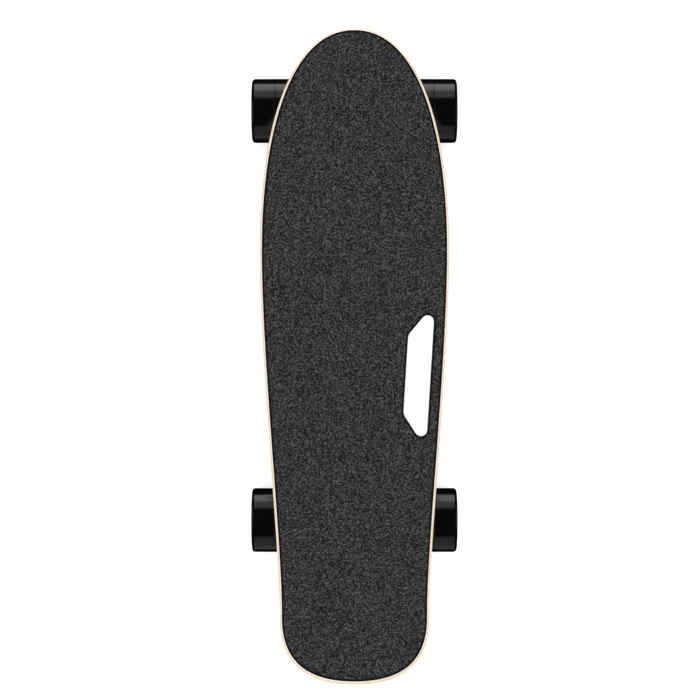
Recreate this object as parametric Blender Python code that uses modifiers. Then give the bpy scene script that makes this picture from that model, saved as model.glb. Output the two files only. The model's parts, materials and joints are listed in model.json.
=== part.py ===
"""Electric skateboard: a short board with a kick tail, one hub motor and its power pack under the deck.

Units are metres. +Z is up, +Y points to the nose and +X to the side with the carry handle.
The origin is on the ground, under the middle of the deck.
"""

import math

import bmesh
import bpy
from mathutils import Matrix, Vector
from mathutils.geometry import interpolate_bezier

# Fits and mesh fineness
GAP = 0.0003  # between pieces that touch on the real board
MERGE = 0.00001
ROUND = 18  # sides of a round piece
FINE_ROUND = 30  # sides of a wheel
SMALL_ROUND = 10  # sides of a bolt, a hole or a cable
SOFT_ANGLE = math.radians(35)  # edges sharper than this are shaded sharp
RIM_ANGLE = math.radians(60)  # edges sharper than this are the rims of a flat plate
INSIDE = 0.99  # keeps the corners of one convex solid just inside another that it is joined to

# Deck seen from above
DECK_LENGTH = 0.700
DECK_HALF_WIDTH = 0.1018
DECK_WIDEST_FROM_NOSE = 0.238
SHOULDER_HALF_WIDTH = 0.0801
SHOULDER_FROM_TAIL = 0.0695
NOSE_TIP_HANDLE = 0.073
NOSE_SIDE_HANDLE = 0.122
WAIST_FRONT_HANDLE = 0.116
WAIST_REAR_HANDLE = 0.077
TAIL_SIDE_HANDLE = 0.0415
TAIL_TIP_HANDLE = 0.0585
OUTLINE_STEPS = 13

# Deck section and kick tail
DECK_THICKNESS = 0.011
DECK_EDGE_RADIUS = 0.004
KICK_ANGLE = math.radians(14)
KICK_RADIUS = 0.150
KICK_FROM_BASEPLATE = 0.0065
BEND_STEPS = 6
GRIP_THICKNESS = 0.0011
GRIP_INSET = 0.0026

# Carry handle: a slanted trapezoid with round corners, its long side outwards
HANDLE_LONG_SIDE = 0.1555
HANDLE_SHORT_SIDE = 0.085
HANDLE_WIDTH = 0.0262
HANDLE_CENTRE_Y = -0.022
HANDLE_FROM_EDGE = 0.0150
HANDLE_TILT = math.radians(3.5)
HANDLE_OUTER_RADIUS = 0.0065
HANDLE_INNER_RADIUS = 0.011
CORNER_STEPS = 6
BLOCK_CORNER_STEPS = 3
TRAY_CORNER_STEPS = 4

# Wheels, bearings and axles
WHEEL_RADIUS = 0.035
WHEEL_WIDTH = 0.051
TYRE_LIP_RADIUS = 0.0035
LIP_STEPS = 3
TYRE_DISH = 0.0125
TYRE_FACE = 0.0042  # flat ring on each side of a tyre, inside its rounded edge
CORE_RADIUS = 0.0205
CORE_SHOULDER = 0.002
BEARING_RADIUS = 0.011
BEARING_WIDTH = 0.007
BEARING_SPACING = 0.010
SPEED_WASHER = 0.001
AXLE_RADIUS = 0.004
AXLE_NUT_LENGTH = 0.006
AXLE_NUT_RADIUS = 0.0075
AXLE_END = 0.001
CHAMFER = 0.0005

# Where the trucks stand
FRONT_AXLE_FROM_NOSE = 0.0825
REAR_AXLE_FROM_TAIL = 0.1685

# Truck steering geometry, in the plane of symmetry: the steering line runs from the middle of the
# hanger's ring up to the tip of its pivot pin, and the kingpin stands square to that line
STEER_TILT = math.radians(29)
PIVOT_REACH = 0.062
PIVOT_TIP_DEPTH = 0.0099
AXLE_AHEAD = 0.0208  # from the ring to the axle, along the steering line
AXLE_BELOW = 0.0264  # from the steering line to the axle

# Hanger
HANGER_HALF = 0.0735
BEAM_RADIUS = 0.0088
RING_RADIUS = 0.017
RING_HALF = 0.005
RING_HOLE_RADIUS = 0.007
SHOULDER_SPREAD = 0.038
WEB_HALF = 0.015
PIVOT_BASE_RADIUS = 0.009
PIVOT_BASE = 0.040
PIVOT_PIN_RADIUS = 0.0046
PIVOT_PIN_START = 0.050

# Kingpin and the stack on it
KINGPIN_RADIUS = 0.0048
KINGPIN_HEAD_RADIUS = 0.008
KINGPIN_HEAD = 0.005
BUSHING_RADIUS = 0.0125
BUSHING_TIP_RADIUS = 0.0098
BUSHING_LENGTH = 0.0105
ROAD_WASHER_RADIUS = 0.0105
ROAD_WASHER = 0.0015
KINGPIN_NUT_RADIUS = 0.0096
KINGPIN_NUT = 0.0085
KINGPIN_TIP = 0.003

# Baseplate
PAD_THICKNESS = 0.006
PAD_HALF_WIDTH = 0.028
PAD_OUTER = 0.034  # from the axle to the end of the pad nearer the board's end
PAD_INNER = 0.058
PAD_CORNER = 0.006
KINGPIN_BOSS_HALF = 0.013
KINGPIN_BOSS_WALL = 0.009
PIVOT_CUP_RADIUS = 0.0068
PIVOT_CUP_DEPTH = 0.0085
PIVOT_CUP_END = 0.0022
PIVOT_BOSS_WALL = 0.0037
PIVOT_BOSS_LIP = 0.002
PIVOT_BOSS_TAPER = 0.8  # share of the boss's radius left at its closed end
RISER_THICKNESS = 0.003

# Truck bolts
BOLT_HALF_ACROSS = 0.02065
BOLT_HALF_ALONG = 0.027
BOLT_CENTRE_IN = 0.010  # from the axle towards the middle of the board
BOLT_RADIUS = 0.0025
BOLT_HEAD_RADIUS = 0.0048
BOLT_HEAD = 0.0026
BOLT_HEAD_SUNK = 0.0005
BOLT_NUT_RADIUS = 0.0046
BOLT_NUT = 0.005

# Hub motor, in the wheel on the handle's side at the rear
MOTOR_TYRE_THICKNESS = 0.0055
CAN_WALL = 0.0024
CAN_END = 0.004
CAN_SET_BACK = 0.0015
COVER_SET_BACK = 0.0035
COVER_THICKNESS = 0.003
AIR_GAP = 0.0026
WINDING_EDGE = 0.0026
STATOR_ROOM = 0.025  # of the wheel's width, for the can's end wall, the windings' ends and the cover
STATOR_LENGTH = WHEEL_WIDTH - STATOR_ROOM
SHAFT_RADIUS = 0.006
SHAFT_NECK_RADIUS = 0.0075
COLLAR_RADIUS = 0.011
COLLAR_LENGTH = 0.008
COLLAR_FROM_COVER = 0.0013
SOCKET_RADIUS = 0.011
SOCKET_LENGTH = 0.026
REAR_AXLE_PAST_MIDDLE = 0.020
CABLE_RADIUS = 0.003
CABLE_PORT_RADIUS = 0.0038
CABLE_PORT_REACH = 0.018
CABLE_PORT_ANGLE = math.radians(45)

# Power pack
TRAY_WALL = 0.0025
TRAY_DEPTH = 0.0285
TRAY_CORNER = 0.012
TRAY_EDGE = 0.007
FLANGE_WIDTH = 0.007
FLANGE_FROM_HANDLE = 0.0045
FLANGE_FROM_BASEPLATE = 0.012
GASKET_THICKNESS = 0.0012
GASKET_INSET = 0.001
BATTERY_HEIGHT = 0.0205
PACK_CLEARANCE = 0.0015
CONTROLLER_LENGTH = 0.062
CONTROLLER_FROM_SIDE = 0.0155  # from the tray's outside, clear of the controls on its wall
CONTROLLER_HEIGHT = 0.018
CONTROLLER_BASE = 0.011
CONTROLLER_FINS = 9
PACK_SPACING = 0.008

# Controls on the side wall of the tray, away from the handle, measured from the tray's rear end
PORT_DROP = 0.012  # from the flange to the middle of each control
CHARGE_FROM_REAR = 0.024
BUTTON_FROM_REAR = 0.054
GAUGE_FROM_REAR = 0.084
CONTROL_BARREL = 0.0065
BEZEL_RADIUS = 0.0095
BEZEL_THICKNESS = 0.0015
BEZEL_BARREL_RADIUS = 0.0075
BUTTON_RADIUS = 0.0058
BUTTON_PROUD = 0.0012
CHARGE_RADIUS = 0.008
CHARGE_PLATE = 0.0015
CHARGE_BARREL_RADIUS = 0.0058
CHARGE_SOCKET_RADIUS = 0.0034
CHARGE_SOCKET_DEPTH = 0.005
CHARGE_PIN_RADIUS = 0.001
CAP_THICKNESS = 0.002
CAP_HINGE_REACH = 0.0125
CAP_HINGE_RADIUS = 0.0014
CAP_HINGE_HALF = 0.004
GAUGE_HALF_LENGTH = 0.013
GAUGE_HALF_HEIGHT = 0.0035
GAUGE_THICKNESS = 0.0015
GAUGE_STEM = 0.6  # share of the lens that passes through the wall

# The motor cable's route from the port on the shaft to the rear wall of the tray, each point counted
# from the port's mouth, and how far inside the tray's side it enters
CABLE_ENTRY_FROM_SIDE = 0.01326
CABLE_ENTRY_DROP = 0.012
CABLE_STRAIGHT = 0.004  # out of the port before the first bend
CABLE_WAY = [
    (-0.0022, 0.0065, 0.0066),
    (-0.0065, 0.0125, 0.0120),
    (-0.0120, 0.0215, 0.0180),
    (-0.0185, 0.0335, 0.0230),
]
CABLE_SMOOTH = 3

# Heights and places that follow from the sizes above
STEER_COS = math.cos(STEER_TILT)
STEER_SIN = math.sin(STEER_TILT)
RING_IN = AXLE_AHEAD * STEER_COS + AXLE_BELOW * STEER_SIN
RING_UP = AXLE_BELOW * STEER_COS - AXLE_AHEAD * STEER_SIN
TRUCK_HEIGHT = RING_UP + PIVOT_REACH * STEER_SIN + PIVOT_TIP_DEPTH
AXLE_Z = WHEEL_RADIUS
DECK_BOTTOM_Z = AXLE_Z + TRUCK_HEIGHT + RISER_THICKNESS + 2 * GAP
DECK_TOP_Z = DECK_BOTTOM_Z + DECK_THICKNESS
DECK_MIDDLE_Z = DECK_BOTTOM_Z + DECK_THICKNESS / 2
NOSE_Y = DECK_LENGTH / 2
TAIL_Y = -DECK_LENGTH / 2
FRONT_AXLE_Y = NOSE_Y - FRONT_AXLE_FROM_NOSE
REAR_AXLE_Y = TAIL_Y + REAR_AXLE_FROM_TAIL
KICK_START_Y = REAR_AXLE_Y - PAD_OUTER - KICK_FROM_BASEPLATE
WHEEL_X = HANGER_HALF + SPEED_WASHER + BEARING_WIDTH + BEARING_SPACING / 2
BOARD_SEAT = RING_HALF + BUSHING_LENGTH + 2 * GAP
HEAD_SEAT = BOARD_SEAT + KINGPIN_BOSS_WALL
ROAD_SEAT = RING_HALF + BUSHING_LENGTH + 2 * GAP
NUT_SEAT = ROAD_SEAT + ROAD_WASHER + GAP
BEARING_NEAR = BEARING_SPACING / 2
BEARING_FAR = BEARING_NEAR + BEARING_WIDTH
CAN_RADIUS = WHEEL_RADIUS - MOTOR_TYRE_THICKNESS - GAP
COVER_X = COVER_SET_BACK - WHEEL_WIDTH / 2
COLLAR_X = COVER_X - COLLAR_FROM_COVER
SOCKET_END = WHEEL_X + COLLAR_X - COLLAR_LENGTH - GAP
FLANGE_TOP_Z = DECK_BOTTOM_Z - GASKET_THICKNESS - 2 * GAP
FLANGE_Z = FLANGE_TOP_Z - TRAY_WALL
TRAY_BOTTOM_Z = FLANGE_Z - TRAY_DEPTH
CONTROL_Z = FLANGE_Z - PORT_DROP
TRUCK_ENDS = {"front": (FRONT_AXLE_Y, 0.0), "rear": (REAR_AXLE_Y, math.pi)}

PARTS = bpy.data.collections.new("electric_skateboard")
CUTTERS = bpy.data.collections.new("cutters")
MATERIALS = {}
BODIES = {}


def clear_scene():
    for old in list(bpy.data.objects):
        bpy.data.objects.remove(old, do_unlink=True)
    bpy.context.scene.collection.children.link(PARTS)
    bpy.context.scene.collection.children.link(CUTTERS)


def make_materials():
    looks = {
        "maple": ((0.95, 0.86, 0.74), 0.35, 0.0),
        "grip": ((0.035, 0.035, 0.037), 0.95, 0.0),
        "urethane": ((0.012, 0.012, 0.013), 0.30, 0.0),
        "cast_alloy": ((0.045, 0.045, 0.048), 0.50, 0.6),
        "steel": ((0.50, 0.50, 0.50), 0.35, 1.0),
        "black_steel": ((0.03, 0.03, 0.03), 0.40, 0.8),
        "nylon": ((0.025, 0.025, 0.027), 0.55, 0.0),
        "bushing": ((0.70, 0.12, 0.03), 0.45, 0.0),
        "rubber": ((0.02, 0.02, 0.02), 0.70, 0.0),
        "alloy": ((0.60, 0.60, 0.62), 0.30, 1.0),
        "copper": ((0.60, 0.25, 0.10), 0.35, 1.0),
        "cell_wrap": ((0.05, 0.16, 0.45), 0.35, 0.0),
        "lens": ((0.08, 0.30, 0.12), 0.15, 0.0),
    }
    for name, (colour, roughness, metallic) in looks.items():
        material = bpy.data.materials.new(name)
        material.use_nodes = True
        shader = material.node_tree.nodes["Principled BSDF"]
        shader.inputs["Base Color"].default_value = (*colour, 1.0)
        shader.inputs["Roughness"].default_value = roughness
        shader.inputs["Metallic"].default_value = metallic
        MATERIALS[name] = material


# ---------------------------------------------------------------- helpers


def body(name, place):
    """An empty on a joint's axis, that the body's pieces hang on."""
    empty = bpy.data.objects.new(f"{name}_body", None)
    empty.matrix_world = place
    PARTS.objects.link(empty)
    BODIES[name] = empty, place.inverted()


def put(name, data, material, place, on=None):
    """A piece of the board, placed in the world, and hung on a moving body where it has one."""
    piece = bpy.data.objects.new(name, data)
    if not data.materials:
        data.materials.append(MATERIALS[material])
    if on:
        piece.parent, piece.matrix_parent_inverse = BODIES[on]
    piece.matrix_basis = place
    PARTS.objects.link(piece)
    return piece


def mesh_of(name, bm):
    """The finished mesh of a bmesh, shaded smooth where its faces meet softly."""
    mesh = bpy.data.meshes.new(name)
    bm.to_mesh(mesh)
    bm.free()
    mesh.shade_smooth()
    mesh.set_sharp_from_angle(angle=SOFT_ANGLE)
    return mesh


def as_tool(tool):
    """Moves an object to the cutters, which are guides and not pieces."""
    PARTS.objects.unlink(tool)
    CUTTERS.objects.link(tool)
    tool.hide_render = True
    tool.display_type = "WIRE"
    return tool


def combine(piece, operation, tool):
    """Adds a Boolean of the piece with the tool: UNION or DIFFERENCE."""
    modifier = piece.modifiers.new(tool.name, "BOOLEAN")
    modifier.operation = operation
    modifier.solver = "EXACT"
    modifier.object = as_tool(tool)


def settled(piece):
    """The piece's mesh with its modifiers applied."""
    bpy.context.view_layer.update()
    graph = bpy.context.evaluated_depsgraph_get()
    return bpy.data.meshes.new_from_object(piece.evaluated_get(graph))


def turned(name, profile, material, place, on=None, steps=ROUND, ring=False):
    """A solid turned round its own Z from (radius, height) pairs, outer side from top to bottom."""
    mesh = bpy.data.meshes.new(name)
    count = len(profile)
    edges = [(i, i + 1) for i in range(count - 1)]
    if ring:
        edges.append((count - 1, 0))
    mesh.from_pydata([(radius, 0.0, height) for radius, height in profile], edges, [])
    piece = put(name, mesh, material, place, on)
    screw = piece.modifiers.new("Turn", "SCREW")
    screw.axis = "Z"
    screw.steps = screw.render_steps = steps
    screw.use_merge_vertices = True
    screw.merge_threshold = MERGE
    return piece


def rod(name, radius, low, high, material, place, on=None, steps=ROUND):
    """A plain cylinder along its own Z."""
    bm = bmesh.new()
    middle = Matrix.Translation((0, 0, (low + high) / 2))
    bmesh.ops.create_cone(
        bm, cap_ends=True, segments=steps, radius1=radius, radius2=radius, depth=high - low, matrix=middle
    )
    return put(name, mesh_of(name, bm), material, place, on)


def block(low, high, corner=0.0, corner_steps=BLOCK_CORNER_STEPS):
    """A bmesh box between two corners, with its upright edges rounded."""
    low, high = Vector(low), Vector(high)
    bm = bmesh.new()
    bmesh.ops.create_cube(bm, size=1.0)
    bmesh.ops.scale(bm, vec=high - low, verts=bm.verts)
    bmesh.ops.translate(bm, vec=(low + high) / 2, verts=bm.verts)
    if corner:
        upright = [e for e in bm.edges if abs(e.verts[0].co.z - e.verts[1].co.z) > MERGE]
        bmesh.ops.bevel(
            bm, geom=upright, offset=corner, segments=corner_steps, profile=0.5, affect="EDGES", material=-1
        )
    return bm


def circle(radius, place, steps=ROUND):
    """Points round a circle in the place's XY plane."""
    turns = (math.tau * i / steps for i in range(steps))
    return [place @ Vector((radius * math.cos(a), radius * math.sin(a), 0)) for a in turns]


def corners(half_x, half_y, z, middle=(0.0, 0.0)):
    """The four corners of a level rectangle."""
    x, y = middle
    return [Vector((x + i * half_x, y + j * half_y, z)) for i in (-1, 1) for j in (-1, 1)]


def hull(points):
    """The bmesh of the tightest convex solid round some points."""
    bm = bmesh.new()
    for point in points:
        bm.verts.new(point)
    bmesh.ops.convex_hull(bm, input=bm.verts)
    loose = [v for v in bm.verts if not v.link_faces]
    bmesh.ops.delete(bm, geom=loose, context="VERTS")
    bmesh.ops.recalc_face_normals(bm, faces=bm.faces)
    return bm


def rounded(points, radii):
    """A closed flat outline with each corner of the polygon replaced by an arc of its radius."""
    outline = []
    for i, corner in enumerate(points):
        back = (points[i - 1] - corner).normalized()
        ahead = (points[(i + 1) % len(points)] - corner).normalized()
        half = back.angle(ahead) / 2
        centre = corner + (back + ahead).normalized() * radii[i] / math.sin(half)
        reach = radii[i] / math.tan(half)
        start = (corner + back * reach - centre).normalized()
        end = (corner + ahead * reach - centre).normalized()
        for step in range(CORNER_STEPS + 1):
            outline.append(centre + start.slerp(end, step / CORNER_STEPS) * radii[i])
    return outline


def rounded_rectangle(half_x, half_y, radius, middle=(0.0, 0.0)):
    x, y = middle
    ends = [(-1, -1), (1, -1), (1, 1), (-1, 1)]
    points = [Vector((x + i * half_x, y + j * half_y)) for i, j in ends]
    return rounded(points, [radius] * len(points))


def flat_plate(name, outlines, thickness):
    """The bmesh of a plate, from a 2D curve filled between its outlines and centred on z = 0."""
    data = bpy.data.curves.new(name, "CURVE")
    data.dimensions = "2D"
    data.fill_mode = "BOTH"
    data.extrude = thickness / 2
    for outline in outlines:
        spline = data.splines.new("POLY")
        spline.points.add(len(outline) - 1)
        for point, place in zip(spline.points, outline):
            point.co = (place.x, place.y, 0, 1)
        spline.use_cyclic_u = True
    guide = bpy.data.objects.new(name, data)
    PARTS.objects.link(guide)
    mesh = settled(guide)
    bpy.data.objects.remove(guide, do_unlink=True)
    bm = bmesh.new()
    bm.from_mesh(mesh)
    bmesh.ops.remove_doubles(bm, verts=bm.verts, dist=MERGE)
    bmesh.ops.recalc_face_normals(bm, faces=bm.faces)
    return bm


def out_along_x(side, x, y, z):
    """A place whose own Z points out to one side of the board."""
    return Matrix.Translation((side * x, y, z)) @ Matrix.Rotation(side * math.pi / 2, 4, "Y")


# ---------------------------------------------------------------- deck and grip tape


def right_edge():
    """The deck's edge from the nose round the right side to the tail, in plan."""
    widest_y = NOSE_Y - DECK_WIDEST_FROM_NOSE
    shoulder_y = TAIL_Y + SHOULDER_FROM_TAIL
    knots = [
        ((0, NOSE_Y), (0, 0), (NOSE_TIP_HANDLE, 0)),
        ((DECK_HALF_WIDTH, widest_y), (0, NOSE_SIDE_HANDLE), (0, -WAIST_FRONT_HANDLE)),
        ((SHOULDER_HALF_WIDTH, shoulder_y), (0, WAIST_REAR_HANDLE), (0, -TAIL_SIDE_HANDLE)),
        ((0, TAIL_Y), (TAIL_TIP_HANDLE, 0), (0, 0)),
    ]
    edge = []
    for (start, _, leave), (end, arrive, _) in zip(knots, knots[1:]):
        start, end = Vector(start), Vector(end)
        handles = start + Vector(leave), end + Vector(arrive)
        edge += interpolate_bezier(start, *handles, end, OUTLINE_STEPS)[:-1]
    return [Vector((p.x, p.y)) for p in edge] + [Vector((0, TAIL_Y))]


def plan_outline(inset):
    """The whole outline, clockwise from the nose, moved inwards by the inset."""
    edge = right_edge()
    loop = edge + [Vector((-p.x, p.y)) for p in reversed(edge[1:-1])]
    moved = []
    for i, point in enumerate(loop):
        along = (loop[(i + 1) % len(loop)] - loop[i - 1]).normalized()
        moved.append(point + Vector((along.y, -along.x)) * inset)
    return moved


def deck_half_width(y):
    for before, after in zip(right_edge(), right_edge()[1:]):
        if after.y <= y <= before.y:
            share = (before.y - y) / (before.y - after.y)
            return before.x + (after.x - before.x) * share
    raise ValueError("no deck at this place")


def handle_outline():
    """The hand hole: long side outwards, tilted so that it follows the deck's edge."""
    half = HANDLE_WIDTH / 2
    points = [
        Vector((half, -HANDLE_LONG_SIDE / 2)),
        Vector((half, HANDLE_LONG_SIDE / 2)),
        Vector((-half, HANDLE_SHORT_SIDE / 2)),
        Vector((-half, -HANDLE_SHORT_SIDE / 2)),
    ]
    radii = [HANDLE_OUTER_RADIUS] * 2 + [HANDLE_INNER_RADIUS] * 2
    tilt = Matrix.Rotation(-HANDLE_TILT, 2)
    middle = Vector((deck_half_width(HANDLE_CENTRE_Y) - HANDLE_FROM_EDGE - half, HANDLE_CENTRE_Y))
    return [middle + tilt @ p for p in rounded(points, radii)]


def unbent(point):
    """Where a point of the plan lies before the tail is bent up, measured along the deck's middle layer."""
    run = KICK_START_Y - point.y
    bend_run = KICK_RADIUS * math.sin(KICK_ANGLE)
    if run <= 0:
        return point
    if run < bend_run:
        length = KICK_RADIUS * math.asin(run / KICK_RADIUS)
    else:
        length = KICK_RADIUS * KICK_ANGLE + (run - bend_run) / math.cos(KICK_ANGLE)
    return Vector((point.x, KICK_START_Y - length))


def bend_tail(mesh):
    """Bends a flat layer's tail up round the kick's arc. Heights are from the deck's middle layer."""
    bm = bmesh.new()
    bm.from_mesh(mesh)
    arc = KICK_RADIUS * KICK_ANGLE
    for step in range(BEND_STEPS + 1):
        station = Vector((0, KICK_START_Y - arc * step / BEND_STEPS, 0))
        everything = bm.verts[:] + bm.edges[:] + bm.faces[:]
        bmesh.ops.bisect_plane(bm, geom=everything, dist=MERGE, plane_co=station, plane_no=(0, 1, 0))
    for vertex in bm.verts:
        run = KICK_START_Y - vertex.co.y
        if run <= 0:
            continue
        angle = min(run / KICK_RADIUS, KICK_ANGLE)
        straight = max(run - arc, 0)
        lever = KICK_RADIUS - vertex.co.z
        vertex.co.y = KICK_START_Y - lever * math.sin(angle) - straight * math.cos(angle)
        vertex.co.z = KICK_RADIUS - lever * math.cos(angle) + straight * math.sin(angle)
    bmesh.ops.triangulate(bm, faces=bm.faces)
    return mesh_of(mesh.name, bm)


def bolt_places():
    """(end, x, y) of each truck bolt."""
    places = []
    for end, (axle_y, turn) in TRUCK_ENDS.items():
        outwards = math.cos(turn)
        for along in (-1, 1):
            for across in (-1, 1):
                y = axle_y + outwards * (along * BOLT_HALF_ALONG - BOLT_CENTRE_IN)
                places.append((end, across * BOLT_HALF_ACROSS, y))
    return places


def handle_cutter(name):
    bm = flat_plate(name, [handle_outline()], 3 * DECK_THICKNESS)
    return put(name, mesh_of(name, bm), "maple", Matrix())


def bent_layer(name, flat, material, cutters):
    """Cuts a flat layer of the deck, bends its tail and lifts it to its height."""
    blank = put(name, mesh_of(name, flat), material, Matrix())
    for cutter in cutters:
        combine(blank, "DIFFERENCE", cutter)
    cut_mesh = settled(blank)
    bpy.data.objects.remove(blank, do_unlink=True)
    return put(name, bend_tail(cut_mesh), material, Matrix.Translation((0, 0, DECK_MIDDLE_Z)))


def make_deck():
    flat = flat_plate("deck", [[unbent(p) for p in plan_outline(0)]], DECK_THICKNESS)
    rims = [e for e in flat.edges if e.calc_face_angle(0) > RIM_ANGLE]
    rims = [e for e in rims if abs(e.verts[0].co.z - e.verts[1].co.z) < MERGE]
    bmesh.ops.bevel(
        flat, geom=rims, offset=DECK_EDGE_RADIUS, segments=2, profile=0.5, affect="EDGES", material=-1
    )
    top = DECK_THICKNESS / 2
    hole = BOLT_RADIUS + GAP
    sink = BOLT_HEAD_RADIUS + GAP
    seat = top - BOLT_HEAD_SUNK - BOLT_HEAD
    profile = [(0, top + sink), (sink, top + sink), (sink, top - BOLT_HEAD_SUNK), (hole, seat)]
    profile += [(hole, -DECK_THICKNESS), (0, -DECK_THICKNESS)]
    cutters = [handle_cutter("deck_handle")]
    for i, (_, x, y) in enumerate(bolt_places()):
        place = Matrix.Translation((x, y, 0))
        cutters.append(turned(f"deck_hole_{i}", profile, "maple", place, steps=SMALL_ROUND))
    bent_layer("deck", flat, "maple", cutters)


def make_grip_tape():
    outline = [unbent(p) for p in plan_outline(GRIP_INSET)]
    flat = flat_plate("grip_tape", [outline], GRIP_THICKNESS)
    lift = DECK_THICKNESS / 2 + GAP + GRIP_THICKNESS / 2
    bmesh.ops.translate(flat, vec=(0, 0, lift), verts=flat.verts)
    bent_layer("grip_tape", flat, "grip", [handle_cutter("grip_handle")])


# ---------------------------------------------------------------- trucks


def truck_place(end):
    """A truck's own frame: the origin on the axle's middle, +Y towards the board's end, +Z up."""
    axle_y, turn = TRUCK_ENDS[end]
    return Matrix.Translation((0, axle_y, AXLE_Z)) @ Matrix.Rotation(turn, 4, "Z")


def kingpin_place(end):
    """The kingpin's frame: the origin in the ring, +Y up the steering line, +Z towards the board."""
    ring = Matrix.Translation((0, -RING_IN, RING_UP))
    return truck_place(end) @ ring @ Matrix.Rotation(STEER_TILT, 4, "X")


def steering_place(end):
    """The steering line's frame: the kingpin's, turned so that its own Z runs along that line."""
    return kingpin_place(end) @ Matrix.Rotation(-math.pi / 2, 4, "X")


def make_riser(end):
    place = truck_place(end) @ Matrix.Translation((0, 0, TRUCK_HEIGHT + GAP))
    low = (-PAD_HALF_WIDTH, -PAD_INNER, 0)
    bm = block(low, (PAD_HALF_WIDTH, PAD_OUTER, RISER_THICKNESS), PAD_CORNER)
    riser = put(f"{end}_riser_pad", mesh_of("riser_pad", bm), "rubber", place)
    cut_bolt_holes(riser, end)


def cut_bolt_holes(piece, end):
    depth = RISER_THICKNESS + PAD_THICKNESS
    floor = AXLE_Z + TRUCK_HEIGHT - 2 * depth
    holes = [(x, y) for bolt_end, x, y in bolt_places() if bolt_end == end]
    for i, (x, y) in enumerate(holes):
        place = Matrix.Translation((x, y, floor))
        name = f"{piece.name}_hole_{i}"
        hole = rod(name, BOLT_RADIUS + GAP, 0, 4 * depth, "steel", place, steps=SMALL_ROUND)
        combine(piece, "DIFFERENCE", hole)


def make_baseplate(end):
    place = truck_place(end)
    into_truck = place.inverted()
    kingpin = into_truck @ kingpin_place(end)
    steering = into_truck @ steering_place(end)
    top = TRUCK_HEIGHT
    low = (-PAD_HALF_WIDTH, -PAD_INNER, top - PAD_THICKNESS)
    pad = block(low, (PAD_HALF_WIDTH, PAD_OUTER, top), PAD_CORNER)
    plate = put(f"{end}_baseplate", mesh_of("baseplate", pad), "cast_alloy", place)
    cut_bolt_holes(plate, end)

    inside = top - PAD_THICKNESS / 2
    side = KINGPIN_BOSS_HALF
    seat = [kingpin @ p for p in corners(side, side, BOARD_SEAT)]
    seat_y = sum(p.y for p in seat) / len(seat)
    inner_end = -PAD_INNER + PAD_CORNER
    outer_end = seat_y + side
    root = corners(side, (outer_end - inner_end) / 2, inside, (0, (outer_end + inner_end) / 2))
    boss = put(f"{end}_kingpin_boss", mesh_of("boss", hull(seat + root)), "cast_alloy", place)
    combine(plate, "UNION", boss)

    wall = PIVOT_CUP_RADIUS + GAP + PIVOT_BOSS_WALL
    cup_end = PIVOT_REACH + GAP + PIVOT_CUP_END
    mouth = PIVOT_REACH - PIVOT_CUP_DEPTH - PIVOT_BOSS_LIP
    rings = circle(wall, steering @ Matrix.Translation((0, 0, mouth)))
    rings += circle(wall * PIVOT_BOSS_TAPER, steering @ Matrix.Translation((0, 0, cup_end)))
    back = (steering @ Vector((0, 0, mouth))).y - wall * STEER_SIN
    root_y = (back + PAD_OUTER - PAD_CORNER) / 2
    root = corners(wall, (PAD_OUTER - PAD_CORNER - back) / 2, inside, (0, root_y))
    rings = [p for p in rings if p.z < inside]
    pivot_boss = put(f"{end}_pivot_boss", mesh_of("boss", hull(rings + root)), "cast_alloy", place)
    combine(plate, "UNION", pivot_boss)

    pocket = rod(
        f"{end}_cup_pocket", PIVOT_CUP_RADIUS + GAP, mouth - wall, cup_end + GAP, "steel", place @ steering
    )
    combine(plate, "DIFFERENCE", pocket)
    heights = (HEAD_SEAT, HEAD_SEAT + KINGPIN_HEAD + 2 * GAP)
    levels = [kingpin @ Matrix.Translation((0, 0, height)) for height in heights]
    head = [p for level in levels for p in circle(KINGPIN_HEAD_RADIUS + GAP, level)]
    lifted = [Vector((p.x, p.y, top + PAD_THICKNESS)) for p in head]
    well = put(f"{end}_head_well", mesh_of("well", hull(head + lifted)), "steel", place)
    combine(plate, "DIFFERENCE", well)
    hole = KINGPIN_RADIUS + GAP
    into_well = HEAD_SEAT + KINGPIN_HEAD / 2
    shank = rod(f"{end}_kingpin_hole", hole, RING_HALF, into_well, "steel", place @ kingpin)
    combine(plate, "DIFFERENCE", shank)


def make_kingpin_stack(end):
    place = kingpin_place(end)
    tip = -(NUT_SEAT + KINGPIN_NUT + KINGPIN_TIP)
    head_top = HEAD_SEAT + GAP + KINGPIN_HEAD
    profile = [(0, head_top), (KINGPIN_HEAD_RADIUS, head_top), (KINGPIN_HEAD_RADIUS, HEAD_SEAT + GAP)]
    profile += [(KINGPIN_RADIUS, HEAD_SEAT + GAP), (KINGPIN_RADIUS, tip + 2 * CHAMFER)]
    profile += [(KINGPIN_RADIUS - 2 * CHAMFER, tip), (0, tip)]
    turned(f"{end}_kingpin", profile, "steel", place)

    bore = KINGPIN_RADIUS + GAP
    high, low = RING_HALF + GAP + BUSHING_LENGTH, RING_HALF + GAP
    waist = BUSHING_RADIUS - 2 * CHAMFER
    barrel = [(bore, high), (waist, high), (BUSHING_RADIUS, (high + low) / 2), (waist, low), (bore, low)]
    turned(f"{end}_board_bushing", barrel, "bushing", place, ring=True)
    cone = [(bore, -low), (BUSHING_RADIUS, -low), (BUSHING_RADIUS, -low - 4 * CHAMFER)]
    cone += [(BUSHING_TIP_RADIUS, -high), (bore, -high)]
    turned(f"{end}_road_bushing", cone, "bushing", place, ring=True)

    top = -ROAD_SEAT
    washer = [(bore, top), (ROAD_WASHER_RADIUS, top)]
    washer += [(ROAD_WASHER_RADIUS, top - ROAD_WASHER), (bore, top - ROAD_WASHER)]
    turned(f"{end}_road_washer", washer, "steel", place, ring=True)
    nut_low = -NUT_SEAT - KINGPIN_NUT
    hex_nut(f"{end}_kingpin_nut", KINGPIN_NUT_RADIUS, KINGPIN_RADIUS, nut_low, KINGPIN_NUT, place)


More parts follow.
